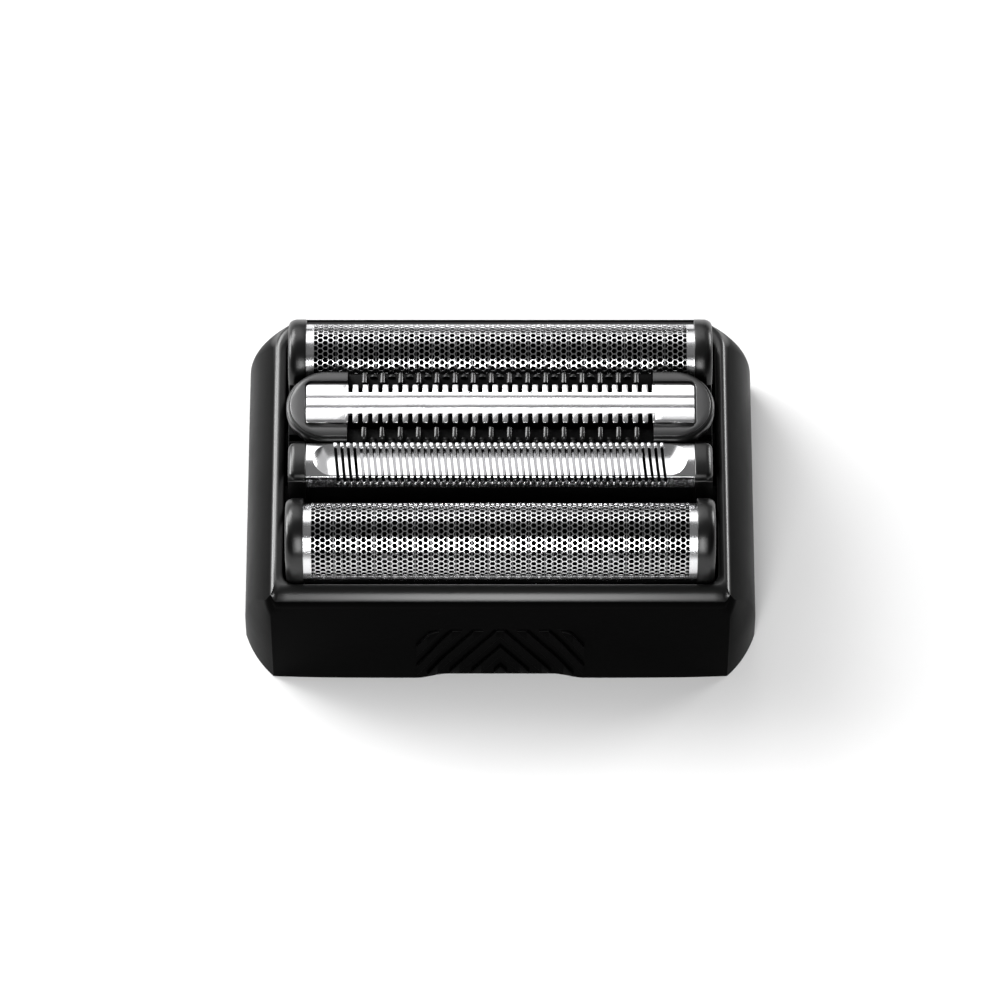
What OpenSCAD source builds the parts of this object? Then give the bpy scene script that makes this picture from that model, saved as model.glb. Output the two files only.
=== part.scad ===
// Cutting cassette of a foil shaver. Two arched foils, a two-sided comb trimmer and a
// slotted guard trimmer float one by one in a moulded frame, over one sliding drive.
// Millimetres. X runs along the foils, +Y to the back, +Z up to the skin.
// The origin is the centre of the underside rim that meets the shaver's handle.

/* [Foils] */
// Length of a foil between its two end caps
foil_len = 37.8; // [32:0.2:46]
// Half the width of a foil at the foot of its arch
foil_half_w = 3.6; // [3.3:0.1:4.4]
// Height of the arch above its foot
foil_h = 4.4; // [3.8:0.1:5.3]
// How much narrower the arc at the apex is than half the foil
apex_in = 0.4; // [0.3:0.05:0.6]
// Thickness of the foil sheet
foil_t = 0.12; // [0.1:0.01:0.2]
// Straight skirt of the foil below its arch
foil_skirt = 3; // [2.6:0.1:3.2]
// Distance between neighbouring holes
hole_pitch = 1.138; // [1:0.01:1.6]
// Solid web between two holes
hole_web = 0.2; // [0.16:0.01:0.4]

/* [Trimmers] */
// Width of the slotted guard sheet
guard_w = 3.8; // [3.6:0.1:4.6]
// Distance between the guard's slots
slot_pitch = 0.617; // [0.6:0.01:0.9]
// Width of the comb trimmer over its end rings
comb_w = 7.1; // [7:0.1:8.5]
// Distance between the teeth of the comb bar
tooth_pitch = 0.965; // [0.9:0.01:1.3]
// Distance between the comb's skin pins
pin_pitch = 1.757; // [1.6:0.01:2.2]
// Height of the comb bar's top above the foils' apex
comb_proud = 0.35; // [0.2:0.05:0.6]

/* [Frame] */
// Length of an end cap along X
cap_t = 1.6; // [1.2:0.1:2]
// Gap between the end caps and the frame's opening
end_gap = 0.45; // [0.3:0.05:0.8]
// Width of the rim beside the opening's ends
side_rim = 1.15; // [1:0.05:2]
// How far the side walls swell out below the rim
side_flare = 2.8; // [2:0.1:3.5]
// Wall from the front and back edges of the opening to the base
front_wall = 2.55; // [2.4:0.05:3.5]
// Height of the hollow that takes the top of the handle
cavity_h = 3; // [2.6:0.1:4]
// How far the foot of the arches stands above the rim
rim_drop = 1.15; // [1:0.05:2]

/* [Motion] */
// Stroke of the drive to each side
drive_stroke = 1.2; // [0.8:0.1:1.5]
// How far a foil is pushed down into the frame
foil_travel = 1.5; // [1:0.1:1.5]
// How far a trimmer is pushed down into the frame
trim_travel = 1.2; // [0.8:0.1:1.2]
// Radius of the posts that carry the moving blades
post_r = 0.8; // [0.7:0.05:0.9]
// Radius of the socket that takes the handle's drive pin
socket_r = 2; // [1.6:0.1:2.2]

/* [Hidden] */
$fn = 48;
EPS = 0.01;

// clearances
slip = 0.02;              // pieces pushed together in one unit
run = 0.06;               // a post in its bore, on the radius
air = 0.1;                // moving faces that pass each other
foil_gap = 0.25;          // a foil unit to the opening's edge
guard_gap = 1.4;          // front foil to guard
comb_gap = 0.15;          // guard to the comb's lip

// places along Y, worked out from the widths
lip = 0.35;
comb_foil_gap = 0.19;
row_y = (2 * foil_half_w + guard_gap + guard_w + comb_gap + 2 * lip + comb_w - comb_foil_gap) / 2;
front_y = -row_y;
rear_y = row_y;
guard_y = front_y + foil_half_w + guard_gap + guard_w / 2;
comb_y = guard_y + guard_w / 2 + comb_gap + lip + comb_w / 2;

// places along X
foil_x = foil_len / 2;
cap_x = foil_x + cap_t;
open_x = cap_x + end_gap;
ridge_x = open_x + side_rim;
base_x = ridge_x + side_flare;
open_y = row_y + foil_half_w + 0.05 + foil_gap;
base_y = open_y + front_wall;

// heights
plate_t = 1.2;
plate_top = cavity_h + plate_t;
carrier_z = plate_top + air;
carrier_top = carrier_z + 1.6;
float_z = carrier_top + foil_travel + 1;      // underside of the blocks that float
foil_z = float_z + foil_skirt + 3.15;         // foot of the arches
apex_z = foil_z + foil_h;
ridge_z = foil_z - rim_drop;
rim_t = 1.2;
rim_under = ridge_z - rim_t;
unit_z = float_z + 0.6;                       // underside of the floating units
comb_top = apex_z + comb_proud;
guard_top = apex_z - 0.4;
post_top = float_z + 2.4;

// ---------- profiles ----------
function arc(cu, cv, r, a0, a1, n) =
    [for (i = [0:n]) let (a = a0 + (a1 - a0) * i / n) [cu + r * cos(a), cv + r * sin(a)]];

// rounded arch: half width a, height b, radius r at the apex, straight down to -foot
function arch_flank(a, b, r) = (a * a + (b - r) * (b - r) - r * r) / (2 * (a - r));
function arch_turn(a, b, r) = atan2(b - r, arch_flank(a, b, r) - a);
function arch_pts(a, b, r, foot, n) =
    let (R = arch_flank(a, b, r), t = arch_turn(a, b, r))
    concat([[a, -foot]], arc(a - R, 0, R, 0, t, n), arc(0, b - r, r, t, 180 - t, 2 * n),
        arc(R - a, 0, R, 180 - t, 180, n), [[-a, -foot]]);

function stadium_pts(half_l, r, n) =
    concat(arc(half_l - r, 0, r, -90, 90, n), arc(r - half_l, 0, r, 90, 270, n));

function round_rect_pts(hx, hy, r, n) =
    concat(arc(hx - r, hy - r, r, 0, 90, n), arc(r - hx, hy - r, r, 90, 180, n),
        arc(r - hx, r - hy, r, 180, 270, n), arc(hx - r, r - hy, r, 270, 360, n));

// a profile in Y and Z, run along X
module along_x(x0, x1) {
    translate([x0, 0, 0]) rotate([90, 0, 90]) linear_extrude(x1 - x0) children();
}
// a profile in X and Z, run along Y
module along_y(y0, y1) {
    translate([0, y1, 0]) rotate([90, 0, 0]) linear_extrude(y1 - y0) children();
}
module block(x0, x1, y0, y1, z0, z1) {
    translate([x0, y0, z0]) cube([x1 - x0, y1 - y0, z1 - z0]);
}

// ---------- frame ----------
flare_z = 3;              // the side wall is upright below this height
side_round = 0.35;
front_round = 1.4;
edge_round = 0.45;
rear_round = 0.6;
rear_wide = 0.26;         // the back rim is this much wider than the front one
side_top = ridge_z - side_round;
front_top = ridge_z - front_round;
flare_r = ((side_top - flare_z) * (side_top - flare_z) + side_flare * side_flare) / (2 * side_flare);
rear_top = ridge_z - rear_round;
front_lean = front_wall - edge_round - front_round;
rear_edge = open_y + edge_round + front_round + rear_wide;
rear_lean = base_y - rear_edge;
lean_r = (front_top * front_top + front_lean * front_lean) / (2 * front_lean);
front_bow = 0.55;         // the base bows out between its corners
corner_x = ridge_x + 0.2; // the front arris stands at this place all the way down
wall_in = 1.55;

function swell(r, d) = r - sqrt(r * r - d * d);
function side_wall(z) = base_x - (z < flare_z ? 0 : swell(flare_r, z - flare_z));
function front_face(z) = base_y - swell(lean_r, z);
function rear_face(z) = base_y - rear_lean * z * z / (rear_top * rear_top);

// one level of the wall: [x, z] at the sides, [y, z] at the front and at the back,
// softness and size of the front corners, size of the rear corners along X and Y, bow
cavity_break = 8;         // the hollow narrows above this height
WALL_STEPS = 8;
rear_corner_x = 2.1;
rear_corner_y = 5;
function wall_levels() = [for (i = [0:WALL_STEPS]) let (t = i / WALL_STEPS)
    [[side_wall(t * side_top), t * side_top], [front_face(t * front_top), t * front_top],
        [rear_face(t * rear_top), t * rear_top],
        1 - t, 0.9, rear_corner_x, rear_corner_y * (1 + t) / 2, front_bow * (1 - t)]];
RIM_STEPS = 4;
function rim_levels() = [for (i = [1:RIM_STEPS]) let (a = 90 * i / RIM_STEPS)
    [[ridge_x - side_round + side_round * cos(a), side_top + side_round * sin(a)],
        [open_y + edge_round + front_round * cos(a), front_top + front_round * sin(a)],
        [rear_edge - rear_round + rear_round * cos(a), rear_top + rear_round * sin(a)],
        0, 0.9, rear_corner_x, rear_corner_y, 0]];
// a level inside the mouth is the same at the front and at the back
function inner_level(x, y, z, r) = [[x, z], [y, z], [y, z], 0, r, r, r, 0];
function mouth_levels() = [
    [[open_x + 0.25, ridge_z - 0.25], [open_y + 0.13, ridge_z - 0.13], [open_y + 0.13, ridge_z - 0.13],
        0, 0.85, 1, 1, 0],
    inner_level(open_x, open_y, ridge_z - edge_round, 0.8),
    inner_level(open_x, open_y, rim_under, 0.8),
    inner_level(open_x + 0.35, open_y + 0.6, rim_under, 0.9),
    inner_level(base_x - 2.4, base_y - wall_in - 0.1, cavity_break, 0.9),
    inner_level(base_x - 2.1, base_y - wall_in, 0, 0.9)];

function bezier(a, c, b, n) =
    [for (i = [0:n]) let (t = i / n) (1 - t) * (1 - t) * a + 2 * t * (1 - t) * c + t * t * b];
FRONT_STEPS = 8;
CORNER_STEPS = 5;
// the front edge and its right-hand corner, from the left arris to the side wall
function front_run(s, f, soft, r, bow) =
    let (xb = min(s[0] - r, corner_x), ya = f[0] - (s[0] - xb) * (1 + 0.67 * soft),
        cx = xb + (s[0] - xb) * (1 - 0.3 * soft), cy = f[0] - (f[0] - ya) * 0.41 * soft)
    concat([for (i = [0:FRONT_STEPS - 1]) let (x = xb * (2 * i / FRONT_STEPS - 1))
            [x, -f[0] - bow * (1 - x * x / (xb * xb)), f[1]]],
        bezier([xb, -f[0], f[1]], [cx, -cy, (f[1] + s[1]) / 2], [s[0], -ya, s[1]], CORNER_STEPS));
function rear_run(s, f, rx, ry, bow) =
    let (xb = s[0] - rx)
    concat(bezier([s[0], f[0] - ry, s[1]], [s[0], f[0], (f[1] + s[1]) / 2], [xb, f[0], f[1]], CORNER_STEPS),
        [for (i = [1:FRONT_STEPS]) let (x = xb * (1 - 2 * i / FRONT_STEPS))
            [x, f[0] + bow * (1 - x * x / (xb * xb)), f[1]]]);
function flip_x(p) = [-p[0], p[1], p[2]];
// the last points of each run are its left-hand corner, mirrored from the right
function level_ring(v) =
    let (front = front_run(v[0], v[1], v[3], v[4], v[7]), rear = rear_run(v[0], v[2], v[5], v[6], v[7]))
    concat(front, rear,
        [for (i = [CORNER_STEPS - 1:-1:0]) flip_x(rear[i])],
        [for (i = [FRONT_STEPS + CORNER_STEPS:-1:FRONT_STEPS + 1]) flip_x(front[i])]);

module wall_loft() {
    levels = concat(wall_levels(), rim_levels(), mouth_levels());
    rings = [for (v = levels) level_ring(v)];
    m = len(rings);
    n = len(rings[0]);
    polyhedron(points = [for (ring = rings) each ring],
        faces = [for (j = [0:m - 1]) for (k = [0:n - 1])
            [j * n + k, ((j + 1) % m) * n + k, ((j + 1) % m) * n + (k + 1) % n, j * n + (k + 1) % n]],
        convexity = 6);
}

// guides for the floating units
tongue_w = 0.9;
tongue_x = cap_x + 1.35;
groove_x = tongue_x + air;
guide_x = open_x + 0.1;
unit_rows = [front_y, guard_y, comb_y, rear_y];

module guide_block() {
    along_y(-open_y + 0.1, open_y - 0.1)
        polygon([[guide_x, plate_top], [guide_x, rim_under + EPS], [ridge_x, rim_under + EPS],
            [base_x - 2.2, cavity_break], [base_x - 1.9, plate_top]]);
}
module guide_grooves() {
    for (y = unit_rows)
        block(guide_x - 1, groove_x, y - tongue_w - air, y + tongue_w + air, plate_top - 1, rim_under);
}

// finger grip: a shallow scoop with chevron ribs in the front and back walls
grip_hw = 8.5;
grip_flat = 5;            // the scoop has its full depth as far as this from the middle
grip_h = ridge_z - 5;
grip_round = 2.6;
grip_in = 0.42;
grip_in_top = 0.25;
grip_lean = atan((base_y - front_face(grip_h) + front_bow * grip_h / front_top - grip_in + grip_in_top) / grip_h);
rib_pitch = 2.15;
rib_rise = 1.6;
rib_h = 0.26;
rib_inset = 0.3;          // the ribs end this far inside the scoop's outline
rib_foot = 0.5;

function grip_depth(x) =
    grip_in * (abs(x) < grip_flat ? 1 : (1 + cos(180 * (abs(x) - grip_flat) / (grip_hw - grip_flat))) / 2);
module grip_outline(inset, foot) {
    hw = grip_hw - inset;
    top = grip_h - inset;
    r = grip_round - inset;
    along_y(-base_y - 3, 0)
        polygon(concat([[-hw, foot], [hw, foot]],
            arc(hw - r, top - r, r, 0, 90, 8), arc(r - hw, top - r, r, 90, 180, 8)));
}
// everything in front of the scoop's floor, which is raised by up
module before_floor(up) {
    translate([0, -base_y - front_bow, 0]) rotate([-grip_lean, 0, 0])
        translate([0, 0, -2]) linear_extrude(grip_h + 4)
            polygon(concat([[-grip_hw, -3], [grip_hw, -3]],
                [for (i = [16:-1:-16]) let (x = grip_hw * i / 16) [x, grip_depth(x) - up]]));
}
module chevrons() {
    along_y(-base_y - 3, 0)
        for (k = [-3:2]) {
            top = grip_h + 0.3 - k * rib_pitch * rib_rise;
            low = top - rib_pitch * rib_rise / 2;
            drop = rib_rise * (grip_hw + 1);
            polygon([[0, top], [grip_hw + 1, top - drop], [grip_hw + 1, low - drop], [0, low],
                [-grip_hw - 1, low - drop], [-grip_hw - 1, top - drop]]);
        }
}
module grip_recess() {
    difference() {
        intersection() {
            grip_outline(0, -1);
            before_floor(0);
        }
        difference() {
            intersection() {
                chevrons();
                grip_outline(rib_inset, rib_foot);
            }
            before_floor(rib_h);
        }
    }
}

// lugs of the base plate and their pockets in the frame, and the handle's catch pockets
lug_x = 14;
lug_w = 3;
lug_in = 0.6;
lug_h = 0.8;
latch_hw = 5;
latch_low = 0.9;
latch_h = 1.4;
latch_in = 0.5;
plate_y = base_y - wall_in - 0.15;
plate_x = base_x - 2.1 - 0.2;

module outer_frame() {
    color([0.05, 0.05, 0.055])
    difference() {
        union() {
            wall_loft();
            for (g = [0, 1]) mirror([g, 0, 0]) guide_block();
        }
        for (g = [0, 1]) mirror([g, 0, 0]) guide_grooves();
        for (g = [0, 1]) mirror([0, g, 0]) {
            grip_recess();
            // pockets for the base plate's lugs and for the handle's catches
            for (x = [-lug_x, lug_x])
                block(x - lug_w / 2 - air, x + lug_w / 2 + air, -plate_y - lug_in - air, -plate_y + 1,
                    cavity_h - air, cavity_h + lug_h + air);
            block(-latch_hw, latch_hw, -base_y + wall_in - latch_in, -base_y + wall_in + 1,
                latch_low, latch_low + latch_h);
        }
    }
}

// ---------- base plate ----------
boss_r = 3.6;
carrier_hy = row_y + 2.1;
rail_y = carrier_hy + air + 0.1;

plate_rail_hx = 15;       // low rails that keep the drive carrier straight
plate_rail_t = 0.8;
plate_rail_h = 1.4;
vent_x = 12.5;            // openings that let the shaved hair out
vent_y = 6.6;
vent_hl = 4.5;
vent_r = 1.6;

module base_plate() {
    color([0.09, 0.09, 0.1])
    difference() {
        union() {
            translate([0, 0, cavity_h]) linear_extrude(plate_t) polygon(round_rect_pts(plate_x, plate_y, 2, 6));
            for (g = [0, 1]) mirror([0, g, 0]) {
                block(-plate_rail_hx, plate_rail_hx, rail_y, rail_y + plate_rail_t,
                    plate_top - EPS, plate_top + plate_rail_h);
                for (x = [-lug_x, lug_x])
                    block(x - lug_w / 2, x + lug_w / 2, plate_y - 1, plate_y + lug_in, cavity_h, cavity_h + lug_h);
            }
        }
        // way for the drive socket
        block(-boss_r - drive_stroke - 0.4, boss_r + drive_stroke + 0.4, -boss_r - 0.4, boss_r + 0.4,
            0, plate_top + 1);
        for (gx = [-1, 1]) for (gy = [-1, 1])
            translate([gx * vent_x, gy * vent_y, 0]) linear_extrude(plate_top + 1)
                polygon(stadium_pts(vent_hl, vent_r, 8));
    }
}

// ---------- drive ----------
foil_post_x = 11;
guard_post_x = 9;
comb_post_x = 12.5;
post_places = [for (g = [-1, 1]) each [[g * foil_post_x, front_y], [g * guard_post_x, guard_y],
    [g * comb_post_x, comb_y], [g * foil_post_x, rear_y]]];
socket_depth = 4;
socket_z = cavity_h - 2.1;
bush_t = 0.8;

deck_over = 2.3;          // the deck reaches this far past the outermost posts

module drive_carrier() {
    color([0.85, 0.85, 0.83])
    difference() {
        union() {
            translate([0, 0, carrier_z]) linear_extrude(carrier_top - carrier_z)
                polygon(round_rect_pts(comb_post_x + deck_over, carrier_hy, 2, 6));
            translate([0, 0, socket_z]) cylinder(r = boss_r, h = carrier_z - socket_z + EPS);
            for (p = post_places)
                translate([p[0], p[1], carrier_top - EPS]) cylinder(r = post_r, h = post_top - carrier_top, $fn = 32);
        }
        translate([0, 0, socket_z - 1]) cylinder(r = socket_r + bush_t + slip, h = socket_depth + 1);
        // windows that lighten the deck and pass the hair on to the vents
        for (gx = [-1, 1]) for (gy = [-1, 1]) {
            translate([gx * 4.6, gy * 6.7, carrier_z - 1]) linear_extrude(4) polygon(stadium_pts(2.2, 1.5, 8));
            translate([gx * 13, gy * 6.6, carrier_z - 1]) linear_extrude(4) polygon(stadium_pts(1, 0.9, 8));
        }
    }
}

module drive_bush() {
    color([0.75, 0.62, 0.35])
    translate([0, 0, socket_z]) difference() {
        cylinder(r = socket_r + bush_t, h = socket_depth);
        translate([0, 0, -1]) cylinder(r = socket_r, h = socket_depth + 2);
    }
}

// ---------- foils ----------
apex_r = foil_half_w - apex_in;
apex_c = foil_h - apex_r;
flank_r = arch_flank(foil_half_w, foil_h, apex_r);
flank_c = flank_r - foil_half_w;
foil_turn = arch_turn(foil_half_w, foil_h, apex_r);
s_turn = apex_r * (90 - foil_turn) * PI / 180;
s_end = s_turn + flank_r * foil_turn * PI / 180;
row_step = hole_pitch / 2;
col_step = hole_pitch * sqrt(3);
end_margin = 1.05;
hole_rows = floor((s_end + rim_drop - hole_pitch / 2) / row_step);
hole_cols = floor((foil_len - 2 * end_margin) / col_step);

// a point of the foil's section at the arc length s from the apex: [slope, y, z]
function arch_at(s) =
    let (a = abs(s), g = s < 0 ? -1 : 1,
        on_apex = a / apex_r * 180 / PI,
        on_flank = 90 - foil_turn + (a - s_turn) / flank_r * 180 / PI)
    a <= s_turn ? [g * on_apex, g * apex_r * sin(on_apex), apex_c + apex_r * cos(on_apex)]
    : a <= s_end ? [g * on_flank, g * (flank_r * sin(on_flank) - flank_c), flank_r * cos(on_flank)]
    : [g * 90, g * foil_half_w, s_end - a];

// the sheet's section turns at the cuts between two rows, so every hole stands square on a flat
last_cut = floor(s_end / row_step - 0.7);
section_cuts = concat([-s_end - foil_skirt, -s_end], [for (i = [-last_cut - 1:last_cut]) (i + 0.5) * row_step],
    [s_end, s_end + foil_skirt]);
function sheet_side(depth) = [for (s = section_cuts) let (p = arch_at(s))
    [p[1] - depth * sin(p[0]), p[2] - depth * cos(p[0])]];
function reversed(list) = [for (i = [len(list) - 1:-1:0]) list[i]];

module foil_holes() {
    for (i = [-hole_rows:hole_rows]) {
        p = arch_at(i * row_step);
        odd = abs(i) % 2;
        for (k = [0:hole_cols - odd])
            translate([(k - (hole_cols - odd) / 2) * col_step, p[1], p[2]]) rotate([-p[0], 0, 0])
                cylinder(d = hole_pitch - hole_web, h = foil_t * 5, center = true, $fn = 24);
    }
}
module foil_sheet(y0) {
    color([0.75, 0.76, 0.78])
    translate([0, y0, foil_z]) difference() {
        along_x(-foil_x, foil_x) polygon(concat(sheet_side(0), reversed(sheet_side(foil_t))));
        foil_holes();
    }
}

rail_out = foil_half_w - foil_t - slip;
rail_in = foil_half_w - 0.65;
holder_top = foil_z - 1.25;
plug_len = 0.9;

module foil_holder(y0) {
    color([0.08, 0.08, 0.085])
    difference() {
        block(-foil_x + slip, foil_x - slip, y0 - rail_out, y0 + rail_out, unit_z + 1, holder_top);
        block(-foil_x + plug_len, foil_x - plug_len, y0 - rail_in, y0 + rail_in, unit_z, holder_top + 1);
    }
}

// end cap of a foil on the side g, with the plug that carries the sheet's end
cap_over = 0.55;
cap_hw = foil_half_w + 0.05;
cap_round = 0.6;
cap_apex_in = 0.08;
tongue_low = 0.25;
module unit_tongue(y0, travel) {
    block(cap_x - 0.2, tongue_x, y0 - tongue_w, y0 + tongue_w, plate_top + travel + tongue_low, rim_under - air);
}
module foil_cap(y0, g) {
    color([0.03, 0.03, 0.03])
    mirror([g < 0 ? 1 : 0, 0, 0]) {
        intersection() {
            translate([0, y0, foil_z]) along_x(foil_x, cap_x)
                polygon(arch_pts(cap_hw, foil_h + cap_over, cap_hw - cap_apex_in, foil_z - unit_z, 6));
            along_y(y0 - 9, y0 + 9) polygon(concat([[foil_x - 1, 0], [cap_x, 0]],
                arc(cap_x - cap_round, apex_z + cap_over - cap_round, cap_round, 0, 90, 5),
                [[foil_x - 1, apex_z + cap_over]]));
        }
        translate([0, y0, foil_z]) along_x(foil_x - plug_len, foil_x + 0.2)
            polygon(arch_pts(rail_out - slip, foil_h - foil_t - 2 * slip, rail_out - slip - apex_in,
                foil_z - holder_top - 2 * slip, 6));
        unit_tongue(y0, foil_travel);
    }
}

// ---------- foil cutters ----------
lamella_pitch = 1.2;
lamella_n = 2 * floor((foil_x - 1.9) / lamella_pitch);
lamella_t = 0.25;
cutter_in = foil_t + air;
leg_hw = foil_half_w - 0.9;
core_hw = foil_half_w - 1.7;
leg_z = float_z + 2.25 - foil_z;
shoulder_z = holder_top + 0.1 - foil_z;
block_hx = (lamella_n - 1) / 2 * lamella_pitch + 0.4;

module lamella_profile() {
    a = foil_half_w - cutter_in;
    arch = arch_pts(a, foil_h - cutter_in, a - apex_in, -shoulder_z - 0.6, 5);
    polygon(concat([[leg_hw, leg_z], [leg_hw, shoulder_z]], arch, [[-leg_hw, shoulder_z], [-leg_hw, leg_z]],
        [[-core_hw, leg_z]], arc(0, foil_h - 0.9 - core_hw - cutter_in, core_hw, 180, 0, 6), [[core_hw, leg_z]]));
}
module lamellae(y0) {
    color([0.7, 0.71, 0.73])
    for (i = [0:lamella_n - 1]) {
        x = (i - (lamella_n - 1) / 2) * lamella_pitch;
        translate([0, y0, foil_z]) along_x(x - lamella_t / 2, x + lamella_t / 2) lamella_profile();
    }
}
module post_bores(y0, px, depth) {
    for (x = [-px, px])
        translate([x, y0, float_z - 1]) cylinder(r = post_r + run, h = depth + 1, $fn = 32);
}
module cutter_block(y0) {
    color([0.8, 0.8, 0.78])
    difference() {
        union() {
            block(-block_hx, block_hx, y0 - leg_hw - 0.05, y0 + leg_hw + 0.05, float_z, float_z + 2.25);
            block(-block_hx, block_hx, y0 - core_hw + slip, y0 + core_hw - slip, float_z + 1, float_z + 4.05);
        }
        post_bores(y0, foil_post_x, 5);
    }
}

// ---------- comb trimmer ----------
comb_half = comb_w / 2;
ring_t = 0.35;
bar_t = 0.25;
seat_z = comb_top - 0.45;                 // rings and bar stand on this face
comb_rail_z = seat_z - 1.55;
comb_low_hw = comb_half - 0.25;
comb_head_x = foil_x - 4.1;               // the end heads start here
comb_end_x = cap_x + 0.2;
chan_hw = comb_half - 1.25;
bar_x = foil_x - 0.15;
bar_hw = comb_half - 1.425;
pin_w = 0.55;
pin_n = floor((2 * comb_head_x - 2 * pin_w) / pin_pitch);
tooth_n = floor((2 * comb_head_x - 0.6) / tooth_pitch) + 1;
tooth_gap = 0.45;
tooth_len = 1;
blade_t = 0.26;
comb_blade_x = comb_head_x + 0.3;
comb_foot_x = comb_blade_x + drive_stroke + 0.2;   // the bar stands on its feet from here on

shelf_top = seat_z - 0.65;
bump_r = 0.4;
module comb_pin(x) {
    top = seat_z + 0.15;
    along_y(bar_hw + 0.5, comb_half + 0.2)
        polygon(concat([[x - pin_w / 2, comb_rail_z - EPS], [x + pin_w / 2, comb_rail_z - EPS]],
            arc(x, top - pin_w / 2, pin_w / 2, 0, 180, 6)));
}
// ledge between the two heads on one side, with a low bump between each two pins
module comb_shelf() {
    block(-comb_head_x - EPS, comb_head_x + EPS, chan_hw, comb_half + lip, comb_rail_z + 0.25, shelf_top);
    block(-comb_head_x, comb_head_x, chan_hw, comb_low_hw, comb_rail_z - EPS, comb_rail_z + 0.3);
    along_y(comb_half - 0.1, comb_half + lip)
        for (i = [0:pin_n - 2]) {
            x = (i - pin_n / 2 + 1) * pin_pitch;
            polygon(concat([[x - bump_r, shelf_top - EPS]], arc(x, shelf_top, bump_r, 180, 0, 6),
                [[x + bump_r, shelf_top - EPS]]));
        }
}
module comb_head() {
    translate([0, 0, comb_rail_z + 0.25]) linear_extrude(seat_z - comb_rail_z - 0.25)
        intersection() {
            polygon(stadium_pts(comb_end_x, comb_half + lip, 18));
            translate([comb_head_x, -comb_w]) square([cap_x, 2 * comb_w]);
        }
}
module comb_body() {
    color([0.03, 0.03, 0.03])
    translate([0, comb_y, 0]) difference() {
        union() {
            block(-cap_x, cap_x, -comb_low_hw, comb_low_hw, unit_z, comb_rail_z);
            for (g = [0, 1]) mirror([g, 0, 0]) {
                comb_head();
                block(comb_head_x, bar_x, -comb_low_hw, comb_low_hw, comb_rail_z - 0.5, comb_rail_z + 0.5);
                unit_tongue(0, trim_travel);
            }
            for (g = [0, 1]) mirror([0, g, 0]) {
                comb_shelf();
                for (i = [0:pin_n - 1]) comb_pin((i - (pin_n - 1) / 2) * pin_pitch);
            }
        }
        block(-comb_foot_x, comb_foot_x, -chan_hw, chan_hw, unit_z - 1, comb_top);
    }
}
module comb_ring(g) {
    color([0.4, 0.4, 0.4])
    translate([0, comb_y, seat_z]) mirror([g < 0 ? 1 : 0, 0, 0]) linear_extrude(ring_t)
        difference() {
            polygon(stadium_pts(comb_end_x - lip, comb_half, 18));
            translate([-foil_len, -comb_w]) square([foil_len + comb_head_x, 2 * comb_w]);
            polygon(round_rect_pts(bar_x + 0.1, bar_hw + 0.5, 0.7, 5));
        }
}

module tooth_gaps(hw, n, pitch, gap, len) {
    for (gy = [-1, 1]) for (i = [0:n - 1])
        translate([(i - (n - 1) / 2) * pitch - gap / 2, gy > 0 ? hw - len : -hw - 1, -1]) cube([gap, len + 1, 4]);
}
module comb_bar() {
    color([0.85, 0.85, 0.86])
    translate([0, comb_y, comb_top - bar_t]) difference() {
        union() {
            block(-bar_x, bar_x, -bar_hw, bar_hw, 0, bar_t);
            for (g = [0, 1]) mirror([g, 0, 0])
                block(comb_foot_x, bar_x, -bar_hw, bar_hw, seat_z - comb_top + bar_t, EPS);
        }
        tooth_gaps(bar_hw, tooth_n, tooth_pitch, tooth_gap, tooth_len);
        for (y = [-0.55, 0.55]) block(-bar_x - 1, bar_x + 1, y - 0.08, y + 0.08, bar_t - 0.05, 1);
    }
}
comb_blade_top = comb_top - bar_t - air + 0.03;
module comb_blade() {
    color([0.65, 0.66, 0.68])
    translate([0, comb_y, comb_blade_top - blade_t]) difference() {
        block(-comb_blade_x, comb_blade_x, -bar_hw + 0.1, bar_hw - 0.1, 0, blade_t);
        tooth_gaps(bar_hw - 0.1, tooth_n, tooth_pitch, tooth_gap + 0.05, tooth_len - 0.1);
    }
}
module slider(y0, hx, low_hw, stem_hw, top, px) {
    difference() {
        union() {
            block(-hx, hx, y0 - low_hw, y0 + low_hw, float_z, float_z + 4.6);
            block(-hx, hx, y0 - stem_hw, y0 + stem_hw, float_z + 4, top);
        }
        post_bores(y0, px, post_top - float_z + trim_travel + 0.4);
    }
}
module comb_slider() {
    color([0.8, 0.8, 0.78])
    slider(comb_y, comb_head_x - 0.8, chan_hw - 0.2, chan_hw - 0.9, comb_blade_top - blade_t, comb_post_x);
}

// ---------- guard trimmer ----------
guard_half = guard_w / 2;
sheet_t = 0.25;
guard_end = foil_x - 0.2;
flange_front = 1.5;
flange_rear = 0.65;
guard_core = guard_half - sheet_t - slip;
guard_chan_hw = guard_half - 0.4;
guard_stem_chan = guard_half - 0.75;
guard_reach = foil_x - 3.7;                    // half length of the blade's pocket
slot_n = 2 * floor((foil_x - 2.8) / slot_pitch);
slot_w = 0.3;
slot_slant = 5;
crown_h = 0.45;                                // the sheet swells this much above its edges
trough_x = foil_x - 0.9;
trough_hw = guard_half - 0.18;
trough_d = 0.17;
sheet_low = guard_top - trough_d - sheet_t;
guard_blade_top = sheet_low - air - 0.02;

function crown_pts(hw, low, rise, n) = [for (i = [0:n]) let (u = 1 - 2 * i / n) [hw * u, low + rise * (1 - u * u)]];

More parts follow.
